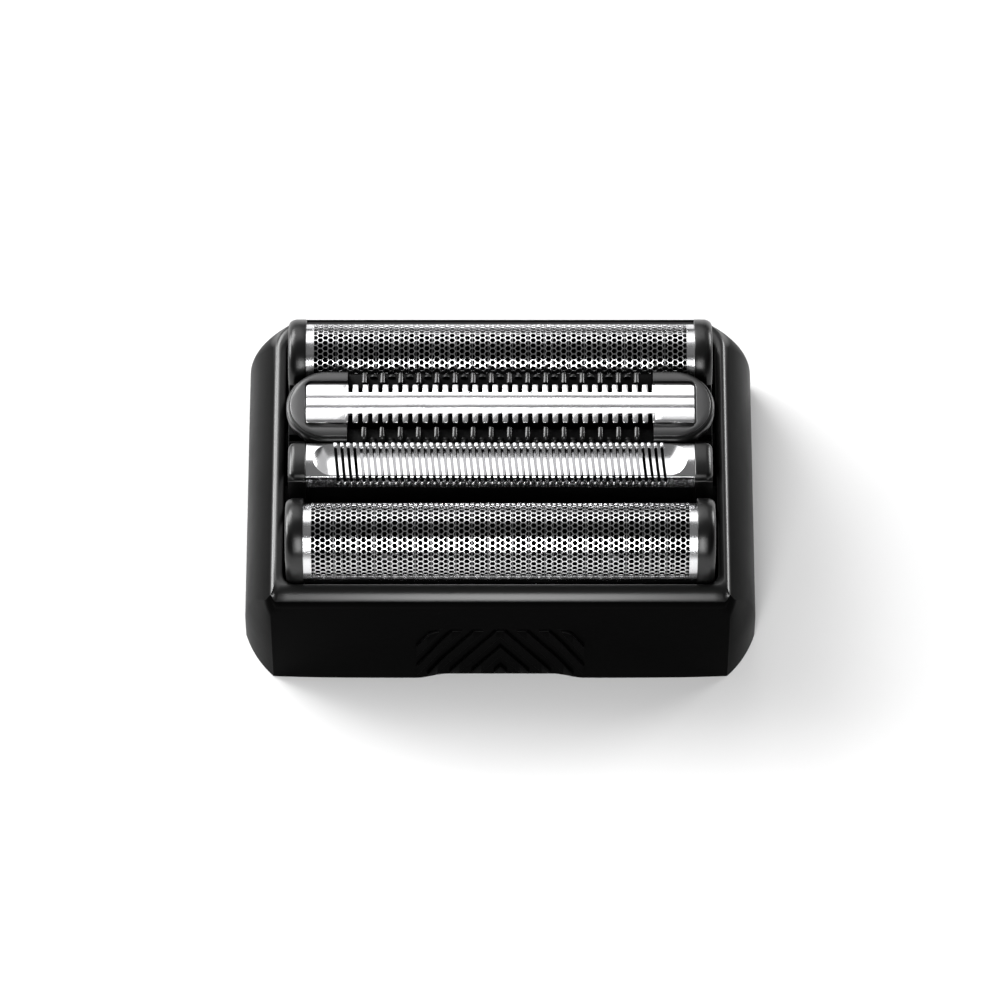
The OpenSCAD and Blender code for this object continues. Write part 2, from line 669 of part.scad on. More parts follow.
module guard_sheet() {
    color([0.8, 0.8, 0.81])
    translate([0, guard_y, guard_top]) difference() {
        union() {
            along_x(-guard_end, guard_end)
                polygon(concat([[-guard_half, -trough_d - sheet_t], [guard_half, -trough_d - sheet_t]],
                    crown_pts(guard_half, -0.05, crown_h, 10)));
            block(-guard_end, guard_end, -guard_half, sheet_t - guard_half, -flange_front, -trough_d - sheet_t + EPS);
            block(-guard_end, guard_end, guard_half - sheet_t, guard_half, -flange_rear, -trough_d - sheet_t + EPS);
        }
        // trough with round ends that scoop up to the crown
        intersection() {
            translate([0, 0, -trough_d - 1]) linear_extrude(3) polygon(stadium_pts(trough_x, trough_hw, 12));
            along_y(-guard_w, guard_w)
                polygon([[-trough_x, crown_h], [trough_hw - trough_x, -trough_d], [trough_x - trough_hw, -trough_d],
                    [trough_x, crown_h], [trough_x, 2], [-trough_x, 2]]);
        }
        for (i = [0:slot_n - 1])
            translate([(i - (slot_n - 1) / 2) * slot_pitch, 0, 0]) rotate([0, 0, slot_slant])
                block(-slot_w / 2, slot_w / 2, -guard_half - 1, guard_half + 1, -flange_front + 0.4, 1);
    }
}
module guard_holder() {
    color([0.06, 0.06, 0.065])
    translate([0, guard_y, 0]) difference() {
        union() {
            block(-guard_end, guard_end, -guard_half - 0.15, guard_half + 0.15, unit_z, foil_z - 0.6);
            block(-guard_end, guard_end, -guard_half, guard_half, foil_z - 1, guard_top - flange_front);
            block(-guard_end, guard_end, -guard_core, guard_core, foil_z - 1, sheet_low - slip);
        }
        block(-guard_reach + 1, guard_reach - 1, -guard_chan_hw, guard_chan_hw, unit_z - 1, foil_z - 0.1);
        block(-guard_reach + 1, guard_reach - 1, -guard_stem_chan, guard_stem_chan, unit_z, guard_top);
        block(-guard_reach, guard_reach, -guard_core + 0.15, guard_core - 0.15,
            guard_blade_top - blade_t - air, guard_top);
        // the sheet's rear flange sits in a rebate
        block(-guard_end - 1, guard_end + 1, guard_core, guard_half + 1, guard_top - flange_rear - slip, guard_top);
    }
}
guard_cap_r = 0.7;
module guard_cap(g) {
    shoulder = guard_top - guard_cap_r / 2;
    ledge = guard_top - flange_front + 0.2;
    color([0.03, 0.03, 0.03])
    mirror([g < 0 ? 1 : 0, 0, 0]) {
        translate([0, guard_y, 0]) difference() {
            along_x(guard_end + slip, cap_x - 0.05)
                polygon(concat([[-guard_half - 0.3, unit_z], [guard_half + 0.1, unit_z]],
                    arc(guard_half + 0.1 - guard_cap_r, shoulder, guard_cap_r, 0, 70, 4),
                    [[0, guard_top + crown_h + 0.05]],
                    arc(guard_cap_r - 0.2 - guard_half, shoulder, guard_cap_r, 110, 180, 4),
                    [[-guard_half - 0.2, ledge + 0.05], [-guard_half - 0.3, ledge]]));
            along_y(-4, 4)
                polygon([[cap_x - 0.5, guard_top + 1], [cap_x + 1, guard_top + 1], [cap_x + 1, guard_top - 0.4]]);
        }
        unit_tongue(guard_y, trim_travel);
    }
}
guard_blade_x = guard_reach - drive_stroke - 0.3;
module guard_blade() {
    color([0.65, 0.66, 0.68])
    translate([0, guard_y, guard_blade_top - blade_t]) difference() {
        block(-guard_blade_x, guard_blade_x, -guard_core + 0.25, guard_core - 0.25, 0, blade_t);
        tooth_gaps(guard_core - 0.25, floor(2 * guard_blade_x / slot_pitch) - 1, slot_pitch, slot_w, 0.8);
    }
}
module guard_slider() {
    color([0.8, 0.8, 0.78])
    slider(guard_y, guard_reach - 1 - drive_stroke - 0.3, guard_chan_hw - 0.13, guard_stem_chan - 0.2,
        guard_blade_top - blade_t, guard_post_x);
}

// ---------- springs ----------
spring_r = 1.15;
wire_r = 0.16;
spring_turns = 2.5;
module coil(z0, z1) {
    steps = ceil(11 * spring_turns);
    sides = 5;
    rise = z1 - z0 - 2 * wire_r;
    pts = [for (i = [0:steps]) for (s = [0:sides - 1])
        let (a = 360 * spring_turns * i / steps, b = 360 * s / sides)
        [(spring_r + wire_r * cos(b)) * cos(a), (spring_r + wire_r * cos(b)) * sin(a),
            z0 + wire_r + rise * i / steps + wire_r * sin(b)]];
    polyhedron(points = pts,
        faces = concat([[for (s = [0:sides - 1]) s]],
            [for (i = [0:steps - 1]) for (s = [0:sides - 1])
                [i * sides + s, (i + 1) * sides + s, (i + 1) * sides + (s + 1) % sides, i * sides + (s + 1) % sides]],
            [[for (s = [sides - 1:-1:0]) steps * sides + s]]),
        convexity = 8);
}
module spring_pair(y0, px) {
    color([0.7, 0.7, 0.72])
    for (x = [-px, px]) translate([x, y0, 0]) coil(carrier_top + slip, float_z - slip);
}

outer_frame();
base_plate();
drive_carrier();
drive_bush();
foil_sheet(front_y);  // front_foil
foil_holder(front_y);  // front_foil_holder
foil_cap(front_y, -1);  // front_cap_left
foil_cap(front_y, 1);  // front_cap_right
foil_sheet(rear_y);  // rear_foil
foil_holder(rear_y);  // rear_foil_holder
foil_cap(rear_y, -1);  // rear_cap_left
foil_cap(rear_y, 1);  // rear_cap_right
comb_body();
comb_ring(-1);  // comb_ring_left
comb_ring(1);  // comb_ring_right
comb_bar();
guard_holder();
guard_sheet();
guard_cap(-1);  // guard_cap_left
guard_cap(1);  // guard_cap_right
lamellae(front_y);  // front_lamellae
cutter_block(front_y);  // front_cutter_block
lamellae(rear_y);  // rear_lamellae
cutter_block(rear_y);  // rear_cutter_block
comb_blade();
comb_slider();
guard_blade();
guard_slider();
spring_pair(front_y, foil_post_x);  // front_springs
spring_pair(rear_y, foil_post_x);  // rear_springs
spring_pair(comb_y, comb_post_x);  // comb_springs
spring_pair(guard_y, guard_post_x);  // guard_springs
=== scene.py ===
# Looks of the foil shaver's cutting cassette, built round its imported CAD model.
# Every size below is in millimetres unless it says metres; meshes are written in metres.
import math

import bmesh
import bpy
from mathutils import Matrix, Vector


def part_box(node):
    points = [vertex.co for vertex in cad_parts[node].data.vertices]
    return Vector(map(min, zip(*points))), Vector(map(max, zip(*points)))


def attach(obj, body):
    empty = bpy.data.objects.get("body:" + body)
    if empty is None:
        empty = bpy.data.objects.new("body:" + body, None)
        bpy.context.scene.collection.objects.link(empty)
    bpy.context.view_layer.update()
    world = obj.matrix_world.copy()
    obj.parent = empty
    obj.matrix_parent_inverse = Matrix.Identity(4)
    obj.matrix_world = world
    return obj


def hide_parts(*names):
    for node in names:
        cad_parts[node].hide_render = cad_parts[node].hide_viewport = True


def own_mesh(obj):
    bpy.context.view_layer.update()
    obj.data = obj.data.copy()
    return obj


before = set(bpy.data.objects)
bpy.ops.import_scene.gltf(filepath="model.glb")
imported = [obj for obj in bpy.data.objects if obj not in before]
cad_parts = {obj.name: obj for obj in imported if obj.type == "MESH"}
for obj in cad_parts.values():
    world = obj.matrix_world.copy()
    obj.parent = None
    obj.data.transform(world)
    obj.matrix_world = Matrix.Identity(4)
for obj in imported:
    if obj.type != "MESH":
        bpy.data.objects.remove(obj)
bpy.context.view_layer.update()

MM = 0.001


def span(node, axis):
    """Lowest and highest place of a CAD node along one axis, in millimetres."""
    low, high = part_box(node)
    return low[axis] / MM, high[axis] / MM


def middle(node, axis):
    low, high = span(node, axis)
    return (low + high) / 2


# ---------- sizes ----------
FOIL_X = span("front_foil", 0)[1]
FOIL_HALF_W = (span("front_foil", 1)[1] - span("front_foil", 1)[0]) / 2
FRONT_Y = middle("front_foil", 1)
REAR_Y = middle("rear_foil", 1)
COMB_Y = middle("comb_ring_right", 1)
GUARD_Y = middle("guard_sheet", 1)
APEX_Z = span("front_foil", 2)[1]
FOIL_H = 4.4                # height of the arch
FOIL_Z = APEX_Z - FOIL_H    # foot of the arch
APEX_IN = 0.4
TONGUE_OUT = 1.35           # the tongues of the caps reach this far under the rim
CAP_X = span("front_cap_right", 0)[1] - TONGUE_OUT
OPEN_X = CAP_X + 0.45       # the frame's opening
RIDGE_X = OPEN_X + 1.15     # the highest line of its side rims
BASE_X = span("outer_frame", 0)[1]
OPEN_Y = REAR_Y + FOIL_HALF_W + 0.3
BASE_Y = OPEN_Y + 2.55
RIDGE_Z = FOIL_Z - 1.15
FRONT_ROUND = 1.7
FRONT_TOP = RIDGE_Z - FRONT_ROUND
RIM_UNDER = RIDGE_Z - 1.2
PLATE_TOP = 4.2             # top of the base plate
UNIT_Z = 9.0                # underside of the floating units
CARRIER_TOP = 5.9
FLOAT_Z = 8.4               # underside of the moving blades' sliders
TONGUE_X = CAP_X + TONGUE_OUT
TONGUE_W = 0.9              # half width
COMB_TOP = span("comb_bar", 2)[1]
SEAT_Z = COMB_TOP - 0.45
COMB_RAIL_Z = SEAT_Z - 1.55
COMB_HALF = 3.55
COMB_LIP = 0.35
COMB_HEAD_X = FOIL_X - 4.1
COMB_END_X = CAP_X + 0.2
COMB_FOOT_X = COMB_HEAD_X + 1.7
BAR_X = FOIL_X - 0.15
BAR_HALF = COMB_HALF - 1.425
GUARD_TOP = span("guard_sheet", 2)[1] - 0.4
GUARD_HALF = 1.9
GUARD_END = FOIL_X - 0.2


# ---------- outlines ----------
def arc(cu, cv, r, a0, a1, n):
    """Points of a circular arc, angles in degrees."""
    turns = [math.radians(a0 + (a1 - a0) * i / n) for i in range(n + 1)]
    return [(cu + r * math.cos(a), cv + r * math.sin(a)) for a in turns]


def arch_flank(a, b, r):
    return (a * a + (b - r) ** 2 - r * r) / (2 * (a - r))


def arch(a, b, r, foot, n):
    """Rounded arch of half width a and height b, with straight legs down to -foot."""
    big = arch_flank(a, b, r)
    turn = math.degrees(math.atan2(b - r, big - a))
    return (
        [(a, -foot)]
        + arc(a - big, 0, big, 0, turn, n)
        + arc(0, b - r, r, turn, 180 - turn, 2 * n)[1:]
        + arc(big - a, 0, big, 180 - turn, 180, n)[1:]
        + [(-a, -foot)]
    )


def round_end(r, turns):
    """How far out and how far in from the side a rounded end has come at each of these angles."""
    return [(r * math.sin(math.radians(a)), r * (1 - math.cos(math.radians(a)))) for a in turns]


# ---------- mesh helpers ----------
class Shell:
    """Collects corner points and faces in millimetres."""

    def __init__(self):
        self.points = []
        self.faces = []

    def add(self, points, faces):
        start = len(self.points)
        self.points += points
        self.faces += [[start + i for i in f] for f in faces]

    def loft(self, rings, closed=False):
        """Skin over rings of equal length; the ends are filled unless closed."""
        n = len(rings[0])
        m = len(rings)
        faces = []
        for j in range(m if closed else m - 1):
            for k in range(n):
                k2 = (k + 1) % n
                j2 = (j + 1) % m
                faces.append([j * n + k, j * n + k2, j2 * n + k2, j2 * n + k])
        if not closed:
            faces.append(list(range(n))[::-1])
            faces.append([(m - 1) * n + k for k in range(n)])
        self.add([p for ring in rings for p in ring], faces)

    def block(self, x0, x1, y0, y1, z0, z1):
        ring = [(x0, y0), (x1, y0), (x1, y1), (x0, y1)]
        self.loft([[(x, y, z) for x, y in ring] for z in (z0, z1)])

    def prism_x(self, outline, x0, x1):
        self.loft([[(x, u, v) for u, v in outline] for x in (x0, x1)])

    def prism_y(self, outline, y0, y1):
        self.loft([[(u, y, v) for u, v in outline] for y in (y0, y1)])


def link(obj):
    bpy.context.scene.collection.objects.link(obj)
    return obj


def mesh_object(name, shell, solid=True):
    """A plain mesh object from a Shell, with its faces turned outwards."""
    mesh = bpy.data.meshes.new(name)
    mesh.from_pydata([(x * MM, y * MM, z * MM) for x, y, z in shell.points], [], shell.faces)
    if solid:
        work = bmesh.new()
        work.from_mesh(mesh)
        bmesh.ops.recalc_face_normals(work, faces=work.faces)
        work.to_mesh(mesh)
        work.free()
    return link(bpy.data.objects.new(name, mesh))


def settle(obj, sharp=32):
    """Applies the object's modifiers and smooths every edge softer than the given angle."""
    if obj.modifiers:
        graph = bpy.context.evaluated_depsgraph_get()
        made = bpy.data.meshes.new_from_object(obj.evaluated_get(graph))
        obj.modifiers.clear()
        obj.data = made
    mesh = obj.data
    mesh.name = obj.name
    mesh.polygons.foreach_set("use_smooth", [True] * len(mesh.polygons))
    mesh.set_sharp_from_angle(angle=math.radians(sharp))
    return obj


def bevel(obj, width, segments=2, angle=40):
    mod = obj.modifiers.new("edges", "BEVEL")
    mod.width = width * MM
    mod.segments = segments
    mod.limit_method = "ANGLE"
    mod.angle_limit = math.radians(angle)
    mod.use_clamp_overlap = True
    return obj


def thicken(obj, thickness):
    """Gives a sheet its thickness, inwards from the side that is seen."""
    mod = obj.modifiers.new("thickness", "SOLIDIFY")
    mod.thickness = thickness * MM
    mod.offset = -1
    return obj


def dress(obj, material, body, slot, *nodes):
    """Gives a finished piece its material, body and the CAD nodes it stands for; the record slot is not used."""
    obj.data.materials.clear()
    obj.data.materials.append(material)
    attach(obj, body)
    if nodes:
        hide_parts(*nodes)
    return obj


# ---------- camera ----------
VIEW_SCALE = 10.45          # thousandths of the view's width that a millimetre takes at the front foil
VIEW_DISTANCE = 625.0
VIEW_TILT = math.radians(60)
AIM = Vector((-0.03, FRONT_Y + 1.66, APEX_Z + 0.97))

toward = Vector((0, -math.cos(VIEW_TILT), math.sin(VIEW_TILT)))
camera_data = bpy.data.cameras.new("camera")
camera = link(bpy.data.objects.new("camera", camera_data))
camera.location = (AIM + toward * VIEW_DISTANCE) * MM
camera.rotation_euler = (math.radians(90) - VIEW_TILT, 0, 0)
camera_data.sensor_width = 36
camera_data.lens = VIEW_SCALE * VIEW_DISTANCE * 36 / 1000
camera_data.clip_start = 0.01
camera_data.clip_end = 20
bpy.context.scene.camera = camera


# ---------- shader effects shared by several finishes ----------
class Wiring:
    """Short hand for adding and linking the nodes of any tree."""

    def __init__(self, tree):
        self.tree = tree

    def node(self, kind, values=None, **settings):
        made = self.tree.nodes.new(kind)
        for key, value in settings.items():
            setattr(made, key, value)
        for key, value in (values or {}).items():
            if isinstance(value, bpy.types.NodeSocket):
                self.tree.links.new(value, made.inputs[key])
            else:
                made.inputs[key].default_value = value
        return made

    def math(self, operation, a, b=0.0, c=0.0, clamp=False):
        return self.node("ShaderNodeMath", {0: a, 1: b, 2: c}, operation=operation, use_clamp=clamp).outputs[0]


class Shader(Wiring):
    """Nodes of a material or of a shader group."""

    def noise(self, vector, scale, detail=2.0, rough=0.5):
        values = {"Vector": vector, "Scale": scale, "Detail": detail, "Roughness": rough}
        return self.node("ShaderNodeTexNoise", values).outputs["Fac"]

    def place(self, scale=(1, 1, 1), rotation=(0, 0, 0)):
        """Object coordinates in millimetres, stretched and turned."""
        coords = self.node("ShaderNodeTexCoord").outputs["Object"]
        values = {"Vector": coords, "Scale": [s / MM for s in scale], "Rotation": rotation}
        return self.node("ShaderNodeMapping", values).outputs["Vector"]


def effect_group(name, inputs, outputs):
    tree = bpy.data.node_groups.new(name, "ShaderNodeTree")
    for label, value in inputs.items():
        tree.interface.new_socket(label, in_out="INPUT", socket_type="NodeSocketFloat").default_value = value
    for label in outputs:
        tree.interface.new_socket(label, in_out="OUTPUT", socket_type="NodeSocketFloat")
    shader = Shader(tree)
    return tree, shader, shader.node("NodeGroupInput").outputs, shader.node("NodeGroupOutput").inputs


def make_moulded_grain():
    """Fine spark-eroded grain of a moulding, with patches that shine a little more."""
    tree, s, given, out = effect_group(
        "moulded_grain",
        {"Grain Size": 0.12, "Grain Height": 1.0, "Roughness": 0.35, "Patchiness": 0.05},
        ["Height", "Roughness"],
    )
    spot = s.place()
    fine = s.noise(spot, s.math("DIVIDE", 1.0, given["Grain Size"]), 3.0, 0.6)
    broad = s.noise(spot, 0.35, 2.0, 0.5)
    tree.links.new(s.math("MULTIPLY", fine, given["Grain Height"]), out["Height"])
    shift = s.math("MULTIPLY", s.math("SUBTRACT", broad, 0.5), given["Patchiness"])
    speck = s.math("MULTIPLY", s.math("SUBTRACT", fine, 0.5), s.math("MULTIPLY", given["Patchiness"], 0.6))
    tree.links.new(s.math("ADD", s.math("ADD", given["Roughness"], shift), speck, clamp=True), out["Roughness"])
    return tree


def make_edge_wear():
    """Mask of edges that handling has polished, broken up by a coarse noise."""
    tree, s, given, out = effect_group(
        "edge_wear", {"Reach": 0.12, "Amount": 1.0, "Breakup": 1.5}, ["Mask"]
    )
    rounded = s.node("ShaderNodeBevel", {"Radius": s.math("MULTIPLY", given["Reach"], MM)}, samples=4).outputs[0]
    plain = s.node("ShaderNodeNewGeometry").outputs["Normal"]
    level = s.node("ShaderNodeVectorMath", {0: rounded, 1: plain}, operation="DOT_PRODUCT").outputs["Value"]
    bend = s.math("MULTIPLY", s.math("SUBTRACT", 1.0, level), 6.0, clamp=True)
    broken = s.noise(s.place(), given["Breakup"], 4.0, 0.65)
    torn = s.math("MULTIPLY", s.math("SUBTRACT", broken, 0.35), 3.0, clamp=True)
    tree.links.new(s.math("MULTIPLY", s.math("MULTIPLY", bend, torn), given["Amount"], clamp=True), out["Mask"])
    return tree


def make_brushed():
    """Ground or rolled steel: long fine scratches along one direction."""
    tree, s, given, out = effect_group(
        "brushed",
        {"Along": 0.6, "Across": 14.0, "Roughness": 0.2, "Variation": 0.1},
        ["Height", "Roughness", "Tone"],
    )
    coords = s.node("ShaderNodeTexCoord").outputs["Object"]
    scale = s.node("ShaderNodeCombineXYZ", {0: given["Along"], 1: given["Across"], 2: given["Across"]}).outputs[0]
    scaled = s.node("ShaderNodeVectorMath", {0: coords, 1: (1 / MM,) * 3}, operation="MULTIPLY").outputs[0]
    spot = s.node("ShaderNodeVectorMath", {0: scaled, 1: scale}, operation="MULTIPLY").outputs[0]
    lines = s.noise(spot, 1.0, 4.0, 0.7)
    tree.links.new(lines, out["Height"])
    shift = s.math("MULTIPLY", s.math("SUBTRACT", lines, 0.5), given["Variation"])
    tree.links.new(s.math("ADD", given["Roughness"], shift, clamp=True), out["Roughness"])
    tree.links.new(s.math("ADD", s.math("MULTIPLY", lines, 0.25), 0.875), out["Tone"])
    return tree


def make_smears():
    """Where skin oil and fingers have dulled a glossy surface."""
    tree, s, given, out = effect_group("smears", {"Size": 4.0, "Amount": 0.1}, ["Mask"])
    spot = s.place((1.0, 0.6, 1.0), (0.3, 0.2, 0.5))
    cloud = s.noise(spot, s.math("DIVIDE", 1.0, given["Size"]), 5.0, 0.55)
    edge = s.math("MULTIPLY", s.math("SUBTRACT", cloud, 0.45), 4.0, clamp=True)
    tree.links.new(s.math("MULTIPLY", edge, given["Amount"]), out["Mask"])
    return tree


def make_matte_walls():
    """Mask of the matte walls: faces steeper than the shoulder, and all behind the rear edge."""
    tree, s, given, out = effect_group(
        "matte_walls", {"Shoulder": 0.62, "Softness": 0.16, "Rear Edge": 15.3}, ["Mask"]
    )
    normal = s.node("ShaderNodeNewGeometry").outputs["Normal"]
    level = s.node("ShaderNodeSeparateXYZ", {0: normal}).outputs[2]
    steep = s.math("DIVIDE", s.math("SUBTRACT", given["Shoulder"], level), given["Softness"], clamp=True)
    place = s.node("ShaderNodeSeparateXYZ", {0: s.place()}).outputs[1]
    behind = s.math("MULTIPLY", s.math("SUBTRACT", place, given["Rear Edge"]), 3.0, clamp=True)
    tree.links.new(s.math("MAXIMUM", steep, behind), out["Mask"])
    return tree


MATTE_WALLS = make_matte_walls()
GRAIN = make_moulded_grain()
WEAR = make_edge_wear()
BRUSHED = make_brushed()
SMEARS = make_smears()


def start_material(name):
    material = bpy.data.materials.new(name)
    material.use_nodes = True
    shader = Shader(material.node_tree)
    skin = material.node_tree.nodes["Principled BSDF"]
    return material, shader, skin


def use_group(shader, tree, values):
    return shader.node("ShaderNodeGroup", values, node_tree=tree).outputs


def mix_colour(shader, mask, low, high):
    made = shader.node("ShaderNodeMix", data_type="RGBA")
    links = shader.tree.links
    links.new(mask, made.inputs[0])
    for socket, value in ((made.inputs[6], low), (made.inputs[7], high)):
        if isinstance(value, bpy.types.NodeSocket):
            links.new(value, socket)
        else:
            socket.default_value = (*value, 1)
    return made.outputs[2]


def plastic(name, colour, worn, roughness, specular, grain=0.12, height=0.5, smear=0.05, coat=0.0):
    """Moulded plastic: grain, polished edges and a few smears; coat polishes the rim, not the walls."""
    material, s, skin = start_material(name)
    links = material.node_tree.links
    values = {"Grain Size": grain, "Roughness": roughness, "Patchiness": 0.06, "Grain Height": 1.0}
    base = use_group(s, GRAIN, values)
    edge = use_group(s, WEAR, {"Reach": 0.1, "Amount": 0.5, "Breakup": 1.2})
    film = use_group(s, SMEARS, {"Size": 5.0, "Amount": smear})
    links.new(mix_colour(s, edge["Mask"], colour, worn), skin.inputs["Base Color"])
    links.new(s.math("ADD", base["Roughness"], film["Mask"], clamp=True), skin.inputs["Roughness"])
    if coat:
        values = {"Shoulder": 0.58, "Softness": 0.08, "Rear Edge": REAR_Y + FOIL_HALF_W + 1.6}
        walls = use_group(s, MATTE_WALLS, values)
        links.new(s.math("MULTIPLY", s.math("SUBTRACT", 1.0, walls["Mask"]), coat), skin.inputs["Coat Weight"])
        skin.inputs["Coat Roughness"].default_value = roughness
    skin.inputs["Specular IOR Level"].default_value = specular
    bump = s.node("ShaderNodeBump", {"Strength": height, "Distance": 0.006 * MM, "Height": base["Height"]})
    links.new(bump.outputs["Normal"], skin.inputs["Normal"])
    return material


def steel(name, colour, roughness, along=0.5, across=12.0, height=0.3):
    """Stainless steel with a direction of grinding, brighter on its edges."""
    material, s, skin = start_material(name)
    links = material.node_tree.links
    values = {"Along": along, "Across": across, "Roughness": roughness, "Variation": 0.12}
    lines = use_group(s, BRUSHED, values)
    edge = use_group(s, WEAR, {"Reach": 0.05, "Amount": 0.4, "Breakup": 2.0})
    film = use_group(s, SMEARS, {"Size": 3.0, "Amount": 0.06})
    dark = tuple(c * 0.82 for c in colour)
    toned = mix_colour(s, lines["Tone"], dark, colour)
    bright = tuple(min(1.0, c * 1.2) for c in colour)
    links.new(mix_colour(s, edge["Mask"], toned, bright), skin.inputs["Base Color"])
    links.new(s.math("ADD", lines["Roughness"], film["Mask"], clamp=True), skin.inputs["Roughness"])
    skin.inputs["Metallic"].default_value = 1.0
    bump = s.node("ShaderNodeBump", {"Strength": height, "Distance": 0.002 * MM, "Height": lines["Height"]})
    links.new(bump.outputs["Normal"], skin.inputs["Normal"])
    return material


FRAME_PLASTIC = plastic("frame_plastic", (0.0005,) * 3, (0.002,) * 3, 0.3, 0.012, coat=1.0)
INNER_PLASTIC = plastic(
    "inner_plastic", (0.0012, 0.0012, 0.0013), (0.004, 0.004, 0.0045), 0.5, 0.05, grain=0.2, height=0.8
)
CAP_PLASTIC = plastic("cap_plastic", (0.001,) * 3, (0.003,) * 3, 0.3, 0.42, grain=0.16, height=0.3, smear=0.04)
PIN_PLASTIC = plastic("pin_plastic", (0.008,) * 3, (0.03,) * 3, 0.22, 0.45, grain=0.3, height=0.1)
RING_PLASTIC = plastic("ring_plastic", (0.015, 0.015, 0.0155), (0.05,) * 3, 0.34, 0.6, grain=0.1, height=0.3)
FOIL_STEEL = steel("foil_steel", (0.66, 0.66, 0.67), 0.2, along=0.8, across=6.0)
BAR_STEEL = steel("bar_steel", (0.78, 0.78, 0.79), 0.2, along=0.25, across=22.0, height=0.5)
GUARD_STEEL = steel("guard_steel", (0.68, 0.68, 0.69), 0.17, along=8.0, across=0.6, height=0.3)
BLADE_STEEL = steel("blade_steel", (0.3, 0.3, 0.31), 0.25, along=16.0, across=1.0)
# painted shade: the lamellae's steel is darkened to near black, standing in for the shade they lie in under the foils
SHADED_LAMELLA_STEEL = steel("lamella_steel", (0.09, 0.09, 0.092), 0.3, along=1.0, across=10.0)
DRIVE_PLASTIC = plastic("drive_plastic", (0.62, 0.62, 0.6), (0.7, 0.7, 0.68), 0.42, 0.4, grain=0.25)
BUSH_BRASS = steel("bush_brass", (0.72, 0.53, 0.25), 0.28, along=1.0, across=4.0)
SPRING_STEEL = steel("spring_steel", (0.66, 0.66, 0.68), 0.25, along=4.0, across=4.0)


# ---------- repeating parts, by geometry nodes ----------
class Pattern(Wiring):
    """A geometry node tree with named inputs."""

    def __init__(self, name, inputs):
        super().__init__(bpy.data.node_groups.new(name, "GeometryNodeTree"))
        face = self.tree.interface
        face.new_socket("Geometry", in_out="OUTPUT", socket_type="NodeSocketGeometry")
        for label, kind in inputs.items():
            face.new_socket(label, in_out="INPUT", socket_type="NodeSocket" + kind)
        self.given = self.node("NodeGroupInput").outputs

    def vector(self, x=0.0, y=0.0, z=0.0):
        return self.node("ShaderNodeCombineXYZ", {0: x, 1: y, 2: z}).outputs[0]

    def finish(self, geometry):
        real = self.node("GeometryNodeRealizeInstances", {"Geometry": geometry}).outputs[0]
        values = {"Geometry": real, "Material": self.given["Material"]}
        last = self.node("GeometryNodeSetMaterial", values).outputs[0]
        self.tree.links.new(last, self.node("NodeGroupOutput").inputs[0])

    def run(self, name, **values):
        """Makes a plain mesh object from the tree with these inputs."""
        maker = link(bpy.data.objects.new(name, bpy.data.meshes.new(name)))
        mod = maker.modifiers.new("pattern", "NODES")
        mod.node_group = self.tree
        for item in self.tree.interface.items_tree:
            label = item.name.replace(" ", "_").lower()
            if item.in_out == "INPUT" and label in values:
                mod[item.identifier] = values[label]
        graph = bpy.context.evaluated_depsgraph_get()
        made = bpy.data.meshes.new_from_object(maker.evaluated_get(graph))
        maker.modifiers.clear()
        maker.data = made
        return maker


